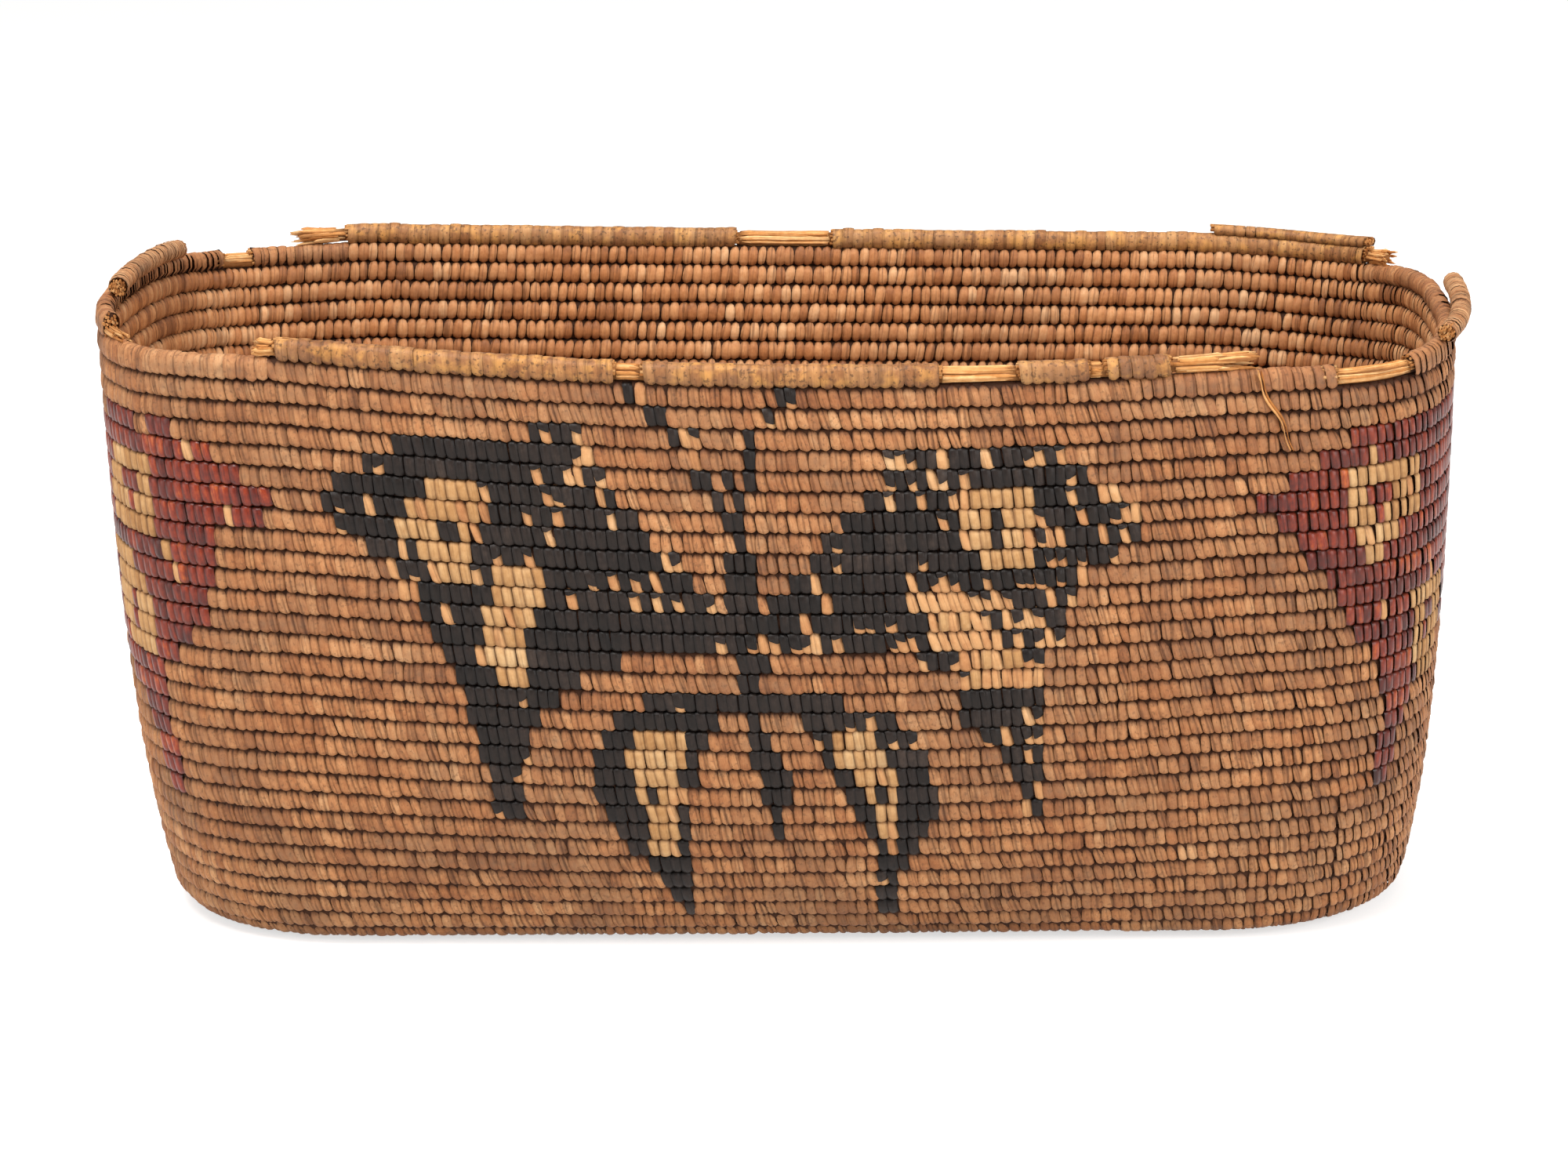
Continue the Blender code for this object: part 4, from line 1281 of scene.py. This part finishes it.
    def build(self) -> None:
        """Build the base, its edge and every course."""
        self.base()
        self.course("sewn_edge", -1, 0, "edge_coil")
        for turn in range(RIM_TURN):
            self.course(f"sewn_course_{turn + 1:02d}", turn, turn + 1,
                        f"wall_coil_{turn + 1:02d}")
        bare_start, bare_end = (self.shape.right_turns(share, RIM_TURN)
                                for share in (0.11, 0.21))
        self.course("sewn_course_31_right", RIM_TURN, bare_start, "wall_coil_31_right")
        break_start, break_end = (self.shape.left_turns(share, RIM_TURN)
                                  for share in (0.81, 0.765))
        self.course("sewn_course_31", bare_end, break_start, "wall_coil_31")
        self.course("sewn_course_31_left", break_end,
                    self.shape.left_turns(0.27, RIM_TURN), "wall_coil_31_left")


# The grime at the whipping band's ends, tucked against the coil, is painted shade as well as dirt.
WHIP_BAND = StrandForm("whip_band", (
    (-3.7, -1.3, 1.4, 0.8), (-3.0, -2.5, 1.7, 0.25), (-1.0, -3.2, 1.8, 0.0),
    (1.4, -2.9, 1.8, 0.0), (2.6, -1.7, 1.8, 0.0), (2.95, 0.0, 1.8, 0.0), (2.6, 1.8, 1.8, 0.0),
    (1.4, 2.85, 1.8, 0.0), (-0.7, 3.2, 1.8, 0.03), (-2.5, 3.1, 1.75, 0.15),
    (-3.5, 2.6, 1.5, 0.35), (-3.95, 1.7, 1.1, 0.9)), 3, 0.16, 0.0, 0.5, Slot.WHIP.value,
    wraps=True)
# The band of a length that lies loose, which is seen from below too; its edges are darkened as
# painted shade.
LOOSE_BAND = StrandForm("loose_band", tuple(
    (-3.15 * math.cos(angle), -3.15 * math.sin(angle), 1.8, 0.03)
    for angle in np.linspace(0, math.tau, 13)), 3, 0.24, 0.0, 0.0, Slot.ROOT.value,
    wraps=True, edge_grime_and_shade=0.7)


@dataclass
class Rim:
    """The rim coil: whipped lengths, bare bundles, broken and frayed ends."""

    shape: CoilShape
    loom: Loom
    rng: np.random.Generator
    band_spacing: float = 3.4
    loose_spacing: float = 1.7
    break_gap: float = 1.0
    # Painted light: the back lengths of the whipping are laid paler, for the light on the back of
    # the rim.
    back_painted_light_tone: float = 0.62
    tip_inset: float = 1.5
    bundle_reach: float = 2.5
    double_level: float = 4.3

    def __post_init__(self) -> None:
        """Shape the whipping bands once."""
        self.band = WHIP_BAND.build()
        self.loose_band = LOOSE_BAND.build()

    def drawn_back(self, start: float, end: float) -> tuple[float, float]:
        """The two ends of a length, each drawn back from its neighbour.

        Args:
            start: where it starts, in turns.
            end: where it ends, in turns.

        Returns:
            The two ends, in turns.
        """
        _, walked = self.shape.walked(RIM_TURN)
        back = self.break_gap / 2 / walked[-1]
        return start + back, end - back

    def whip(self, name: str, start: float, end: float, node: str, tone: float = 0.5,
             lift: tuple[float, float] = (0.0, 0.0),
             shift: tuple[float, float] | None = None) -> None:
        """A whipped length of the rim.

        Args:
            name: the piece's name.
            start: where it starts, in turns.
            end: where it ends, in turns.
            node: the node that it stands for.
            tone: how pale its bands are.
            lift: millimetres that its two ends are raised.
            shift: millimetres that its two ends are moved outwards, where it lies loose.
        """
        start, end = self.drawn_back(start, end)
        _, walked = self.shape.walked(RIM_TURN)
        length = (end - start) * walked[-1]
        spacing = self.band_spacing if shift is None else self.loose_spacing
        count = max(1, round(length / spacing))
        stops = start + (np.arange(count) + 1 / 2) * (end - start) / count
        spread = self.rng.normal(0, 1, (7, count)).clip(-2, 2)
        outwards = shift or (0.0, 0.0)
        width = 1.0 + 0.06 * spread[1]
        self.loom.lay(self.band if shift is None else self.loose_band, stops,
                      tone + 0.13 * spread[0], width * spacing / self.band_spacing,
                      0.06 + 0.04 * spread[2], 0.12 * spread[4] - 0.1 + np.linspace(*lift, count),
                      0.1 * spread[3], 0.06 * spread[5] + np.linspace(*outwards, count),
                      1.0 + 0.02 * spread[6])
        inset = self.tip_inset / walked[-1]
        self.filling(start + inset, end - inset, 3.0, 2.65, -0.35, lift, outwards)
        for place, towards, rise, away in ((start, -1, lift[0], outwards[0]),
                                           (end, 1, lift[1], outwards[1])):
            self.loom.splinters(place, towards, 2.5, 2.4, rise, 34, 1.2, away)
        self.loom.finish(name, (node,), "worn_whipping")

    def filling(self, start: float, end: float, reach_up: float, reach_out: float, rise: float,
                lift: tuple[float, float] = (0.0, 0.0),
                shift: tuple[float, float] = (0.0, 0.0)) -> None:
        """A solid tube inside a length, which closes what stands between its strands.

        Args:
            start: where it starts, in turns.
            end: where it ends, in turns.
            reach_up: half its height, in millimetres.
            reach_out: half its thickness, in millimetres.
            rise: millimetres that it is raised.
            lift: millimetres more that its two ends are raised.
            shift: millimetres that its two ends are moved outwards.
        """
        _, walked = self.shape.walked(RIM_TURN)
        steps = max(3, round(abs(end - start) * walked[-1] / 6))
        ones = np.ones(steps + 1)
        # The filling is darkened as painted shade, where it shows between the strands.
        self.loom.thread(tube_strand(8, steps, Slot.BARE), np.linspace(start, end, steps + 1),
                         rise + np.linspace(*lift, steps + 1), np.linspace(*shift, steps + 1),
                         reach_up * ones, reach_out * ones, 0.3, 0.55)

    def strands(self, start: float, end: float, reach_up: float, reach_out: float,
                rise: float, count: int, raggedness: float, tip_spread: float = 0.0) -> None:
        """Split roots lying side by side along the coil.

        Args:
            start: where they start, in turns.
            end: where they end, in turns.
            reach_up: half the bundle's height.
            reach_out: half its thickness.
            rise: millimetres that it is raised.
            count: how many there are.
            raggedness: how unevenly they end, of the whole length.
            tip_spread: millimetres that their far ends part.
        """
        _, walked = self.shape.walked(math.floor(start))
        length = abs(end - start) * walked[-1]
        steps = int(max(5, min(40, length / 3)))
        tube = tube_strand(5, steps, Slot.BARE)
        for number in range(count):
            ring = 0 if number < count // 4 else 1
            angle = math.tau * number / (count // 4 if ring == 0 else count - count // 4)
            reach = 0.6 if ring == 0 else self.rng.uniform(0.78, 1.0)
            angle += self.rng.normal(0, 0.2)
            first = start + (end - start) * raggedness * self.rng.random() * 0.5
            last = end - (end - start) * raggedness * self.rng.random()
            places = np.linspace(first, last, steps + 1)
            share = np.linspace(0, 1, steps + 1)
            wander = np.cumsum(self.rng.normal(0, 0.06, (2, steps + 1)), axis=1)
            wander -= wander.mean(axis=1, keepdims=True)
            apart = 1 + tip_spread * share ** 2
            up = rise + reach_up * reach * math.cos(angle) * apart + wander[0]
            away = reach_out * reach * math.sin(angle) * apart + wander[1]
            size = self.rng.uniform(0.3, 0.72)
            taper = size * (1 - 0.75 * np.clip((share - 0.9) / 0.1, 0, 1) * (raggedness > 0.05))
            flat = self.rng.uniform(0.4, 0.8)
            # The inner ring of strands is darkened as painted shade inside the bundle.
            self.loom.thread(tube, places, up, away, taper, taper * flat,
                             self.rng.uniform(0.1, 0.95), 0.25 if ring == 0 else 0.0)

    def bundle(self, name: str, start: float, end: float, node: str, tip_spread: float = 0.0,
               raggedness: float = 0.06) -> None:
        """A length of the rim that has lost its whipping.

        Args:
            name: the piece's name.
            start: where it starts, in turns.
            end: where it ends, in turns.
            node: the node that it stands for.
            tip_spread: millimetres that its far end spreads.
            raggedness: how unevenly its roots end, of the whole length.
        """
        inner_end = end - (end - start) * raggedness
        _, walked = self.shape.walked(RIM_TURN)
        reach = math.copysign(self.bundle_reach / walked[-1], end - start)
        self.filling(start - reach, inner_end + reach, 2.3 - raggedness, 1.8 - raggedness, -0.9)
        self.strands(start, end, 2.1, 2.0, -0.6, 34, raggedness, tip_spread)
        self.loom.finish(name, (node,), "bare_root")

    def build(self) -> None:
        """Build every length of the rim."""
        front, back = self.shape.front_turns, self.shape.back_turns
        right, left = self.shape.right_turns, self.shape.left_turns
        whips = {
            "front_left": (left(0.014, RIM_TURN), front(-44, RIM_TURN)),
            "front_middle": (front(-36, RIM_TURN), front(50, RIM_TURN)),
            "front_right": (front(72.4, RIM_TURN), front(93, RIM_TURN)),
            "front_end": (front(97.4, RIM_TURN), front(116.5, WALL_TURNS)),
            "back_right": (right(0.77, WALL_TURNS), back(15, WALL_TURNS)),
            "back_left": (back(-16.5, WALL_TURNS), left(0.925, WALL_TURNS)),
        }
        # The back lengths take the paler tone, as painted light.
        for name, (start, end) in whips.items():
            self.whip(f"whipping_{name}", start, end, f"rim_whip_{name}",
                      self.back_painted_light_tone if name.startswith("back") else 0.5)
        # Two lengths at the ends came loose: one leans out over the wall, the other lies inwards.
        self.whip("whipping_right_end", right(0.27, WALL_TURNS), right(0.48, WALL_TURNS),
                  "rim_whip_right_end", 0.85, (-0.3, 0.5), (3.6, 4.4))
        self.whip("whipping_left_end", left(0.66, WALL_TURNS), left(0.36, WALL_TURNS),
                  "rim_whip_left_end", 0.8, (-0.9, -1.3), (-3.0, -3.6))
        self.double(right(0.77, WALL_TURNS), back(142, WALL_TURNS))
        bundles = {
            "rim_bundle_front_left": (front(-44, RIM_TURN), front(-36, RIM_TURN)),
            "rim_bundle_front_middle": (front(50, RIM_TURN), front(72.4, RIM_TURN)),
            "rim_bundle_front_right": (front(93, RIM_TURN), front(97.4, RIM_TURN)),
            "rim_bundle_right_corner": (right(0.11, RIM_TURN), right(0.21, RIM_TURN)),
            "rim_bundle_back": (back(15, WALL_TURNS), back(-16.5, WALL_TURNS)),
            "wall_bundle_back_left": (left(0.81, RIM_TURN), left(0.765, RIM_TURN)),
        }
        for node, (start, end) in bundles.items():
            start, end = self.drawn_back(start, end)
            self.bundle(node.replace("rim_", "bare_").replace("wall_", "bare_"), start, end,
                        node)
        frays = {
            "rim_fray_front_left": (left(0.014, RIM_TURN), left(0.045, RIM_TURN)),
            "broken_splints_front": (front(116.5, WALL_TURNS), front(143, WALL_TURNS)),
            "rim_fray_back_right": (right(0.77, WALL_TURNS), right(0.72, WALL_TURNS)),
            "rim_fray_back_left": (left(0.925, WALL_TURNS), left(0.86, WALL_TURNS)),
        }
        for node, (root, tip) in frays.items():
            self.bundle(node.replace("rim_", "").replace("broken", "loose"), root, tip, node,
                        0.35, 0.5)
        self.hanging_splint()

    def double(self, start: float, end: float) -> None:
        """The thin coil sewn along the top of the rim at the back.

        Args:
            start: where it starts, in turns.
            end: where it ends, in turns.
        """
        start, end = self.drawn_back(start, end)
        _, walked = self.shape.walked(WALL_TURNS)
        length = (end - start) * walked[-1]
        count = max(1, round(length / self.band_spacing))
        stops = start + (np.arange(count) + 1 / 2) * (end - start) / count
        # The grime at the band's ends is painted shade where they tuck against the coil, as well as
        # dirt.
        band = StrandForm("double_band", (
            (-2.4, -1.9, 1.5, 0.8), (-1.5, -2.7, 1.7, 0.3), (-0.2, -2.9, 1.8, 0.0),
            (0.9, -2.3, 1.8, 0.0), (1.3, -0.9, 1.8, 0.0), (1.3, 0.9, 1.8, 0.0),
            (0.9, 2.3, 1.8, 0.0), (-0.2, 2.8, 1.8, 0.1), (-1.8, 2.4, 1.5, 0.8)), 3, 0.1, 0.0,
            0.0, Slot.WHIP.value, wraps=True).build()
        spread = self.rng.normal(0, 1, (3, count)).clip(-2, 2)
        level = np.zeros(count)
        # The double coil at the back takes the paler tone, as painted light.
        self.loom.lay(band, stops, self.back_painted_light_tone + 0.09 * spread[0], 1.0 + 0.06 * spread[1],
                      level + 0.05, level + self.double_level, level, level, level + 1.0)
        self.filling(start, end, 1.35, 2.2, 3.9)
        for place, towards in ((start, -1), (end, 1)):
            self.loom.splinters(place, towards, 1.0, 2.0, 4.2, 9)
        self.loom.finish("whipping_double_back_right", ("rim_double_back_right",),
                         "worn_whipping")

    def hanging_splint(self) -> None:
        """The loose split root that hangs down from the broken ones, about four courses."""
        start = self.shape.front_turns(139.5, WALL_TURNS)
        count = 25
        drop = np.linspace(0.6, 4.4, count)
        _, walked = self.shape.walked(RIM_TURN)
        along = (drop * 3.0 + 0.7 * np.sin(drop * 2.6)) / walked[-1]
        out = 3.6 + 0.35 * np.sin(drop * 3.1)
        taper = np.linspace(2.3, 0.9, count)
        for side in (-0.3, 0.35):
            self.loom.thread(tube_strand(5, count - 1, Slot.BARE), np.full(count, start) + along
                             + side * 1.2 / walked[-1], -drop * COIL_PITCH, out + side * 0.4,
                             0.5 * taper, 0.4 * taper, 0.35 - side)
        self.loom.finish("hanging_root", ("hanging_splint",), "bare_root")


@dataclass
class Studio:
    """The floor, the light and the camera at the photograph's place."""

    target: Vector = field(default_factory=lambda: Vector((0, 0, 0.095)))
    distance: float = 1.325543
    elevation: float = math.radians(14.245)
    azimuth: float = math.radians(1.944)
    roll: float = math.radians(-1.025)
    lens: float = 95.72
    shift: tuple[float, float] = (0.00083, 0.00383)
    floor_glow: float = 0.62
    sky_strength: float = 0.45

    def camera(self) -> None:
        """Place the camera."""
        back = Vector((math.sin(self.azimuth) * math.cos(self.elevation),
                       -math.cos(self.azimuth) * math.cos(self.elevation),
                       math.sin(self.elevation)))
        right = Vector((math.cos(self.azimuth), math.sin(self.azimuth), 0))
        up = back.cross(right)
        turned_right = math.cos(self.roll) * right + math.sin(self.roll) * up
        turned_up = -math.sin(self.roll) * right + math.cos(self.roll) * up
        data = bpy.data.cameras.new("camera")
        data.sensor_width = 36
        data.lens = self.lens
        data.shift_x, data.shift_y = self.shift
        data.clip_start = 0.05
        camera = bpy.data.objects.new("camera", data)
        camera.matrix_world = Matrix((turned_right, turned_up, back)).transposed().to_4x4()
        camera.location = self.target + back * self.distance
        bpy.context.scene.collection.objects.link(camera)
        bpy.context.scene.camera = camera

    def floor(self) -> None:
        """A plain pale floor that stays white round the basket and keeps its shadow."""
        material = bpy.data.materials.new("pale_floor")
        material.use_nodes = True
        tree = material.node_tree
        tree.nodes.remove(tree.nodes["Principled BSDF"])
        rays = add_node(tree, "ShaderNodeLightPath")
        seen = add_node(tree, "ShaderNodeMath", {0: rays.outputs["Is Camera Ray"],
                                                 1: rays.outputs["Is Glossy Ray"]},
                        operation="MAXIMUM").outputs[0]
        seen = add_node(tree, "ShaderNodeMath", {0: seen,
                                                 1: rays.outputs["Is Transmission Ray"]},
                        operation="MAXIMUM").outputs[0]
        strength = add_node(tree, "ShaderNodeMath", {0: seen, 1: self.floor_glow},
                            operation="MULTIPLY").outputs[0]
        glow = add_node(tree, "ShaderNodeEmission", {"Color": linear("#FFFFFF"),
                                                     "Strength": strength})
        matt = add_node(tree, "ShaderNodeBsdfDiffuse", {"Color": linear("#D4D3D1")})
        both = add_node(tree, "ShaderNodeAddShader", {0: glow.outputs[0], 1: matt.outputs[0]})
        tree.links.new(both.outputs[0], tree.nodes["Material Output"].inputs["Surface"])
        bm = bmesh.new()
        bmesh.ops.create_grid(bm, x_segments=1, y_segments=1, size=6)
        mesh = bpy.data.meshes.new("floor")
        bm.to_mesh(mesh)
        bm.free()
        mesh.materials.append(material)
        floor = bpy.data.objects.new("floor", mesh)
        bpy.context.scene.collection.objects.link(floor)

    def world(self) -> None:
        """A soft even sky, seen as white."""
        world = bpy.data.worlds.new("studio")
        world.use_nodes = True
        tree = world.node_tree
        rays = add_node(tree, "ShaderNodeLightPath")
        seen = add_node(tree, "ShaderNodeMath", {0: rays.outputs["Is Camera Ray"],
                                                 1: rays.outputs["Is Transmission Ray"]},
                        operation="MAXIMUM").outputs[0]
        strength = add_node(tree, "ShaderNodeMapRange",
                            {"Value": seen, "To Min": self.sky_strength,
                             "To Max": 1.0}).outputs["Result"]
        tree.links.new(strength, tree.nodes["Background"].inputs["Strength"])
        tree.nodes["Background"].inputs["Color"].default_value = linear("#FFFFFF")
        bpy.context.scene.world = world

    def lamp(self, name: str, place: tuple[float, float, float], size: float,
             power: float) -> None:
        """A soft square lamp that faces the basket.

        Args:
            name: the lamp's name.
            place: where it stands, in metres.
            size: its side, in metres.
            power: its power, in watts.
        """
        data = bpy.data.lights.new(name, "AREA")
        data.size = size
        data.energy = power
        lamp = bpy.data.objects.new(name, data)
        lamp.location = place
        lamp.rotation_euler = (self.target - Vector(place)).to_track_quat("-Z", "Y").to_euler()
        bpy.context.scene.collection.objects.link(lamp)

    def build(self) -> None:
        """Set up the whole studio."""
        bpy.context.scene.view_settings.view_transform = "Standard"
        self.camera()
        self.floor()
        self.world()
        for name, place, size, power in (("key", (-0.45, -0.85, 1.9), 0.9, 29.5),
                                         ("right_fill", (1.4, -1.1, 0.8), 1.2, 21.0),
                                         ("left_fill", (-1.5, -1.0, 0.7), 1.2, 11.0),
                                         ("top", (0.1, -0.2, 1.9), 1.2, 13.0)):
            self.lamp(name, place, size, power)


def main() -> None:
    """Build every piece in order."""
    logging.basicConfig(level=logging.INFO, format="%(message)s")
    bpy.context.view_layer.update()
    rng = np.random.default_rng(20)
    shape = CoilShape()
    materials = [finish.build() for finish in (CEDAR_ROOT, INNER_ROOT, BLACK_BARK, BLEACHED_GRASS,
                                               CHERRY_BARK, CLEAN_ROOT, BUNDLE_CORE, RIM_WHIPPING,
                                               BARE_ROOT)]
    loom = Loom(shape, materials, rng)
    Coursework(shape, loom, Figures(shape), rng).build()
    Rim(shape, loom, rng).build()
    Studio().build()


if __name__ == "__main__":
    main()
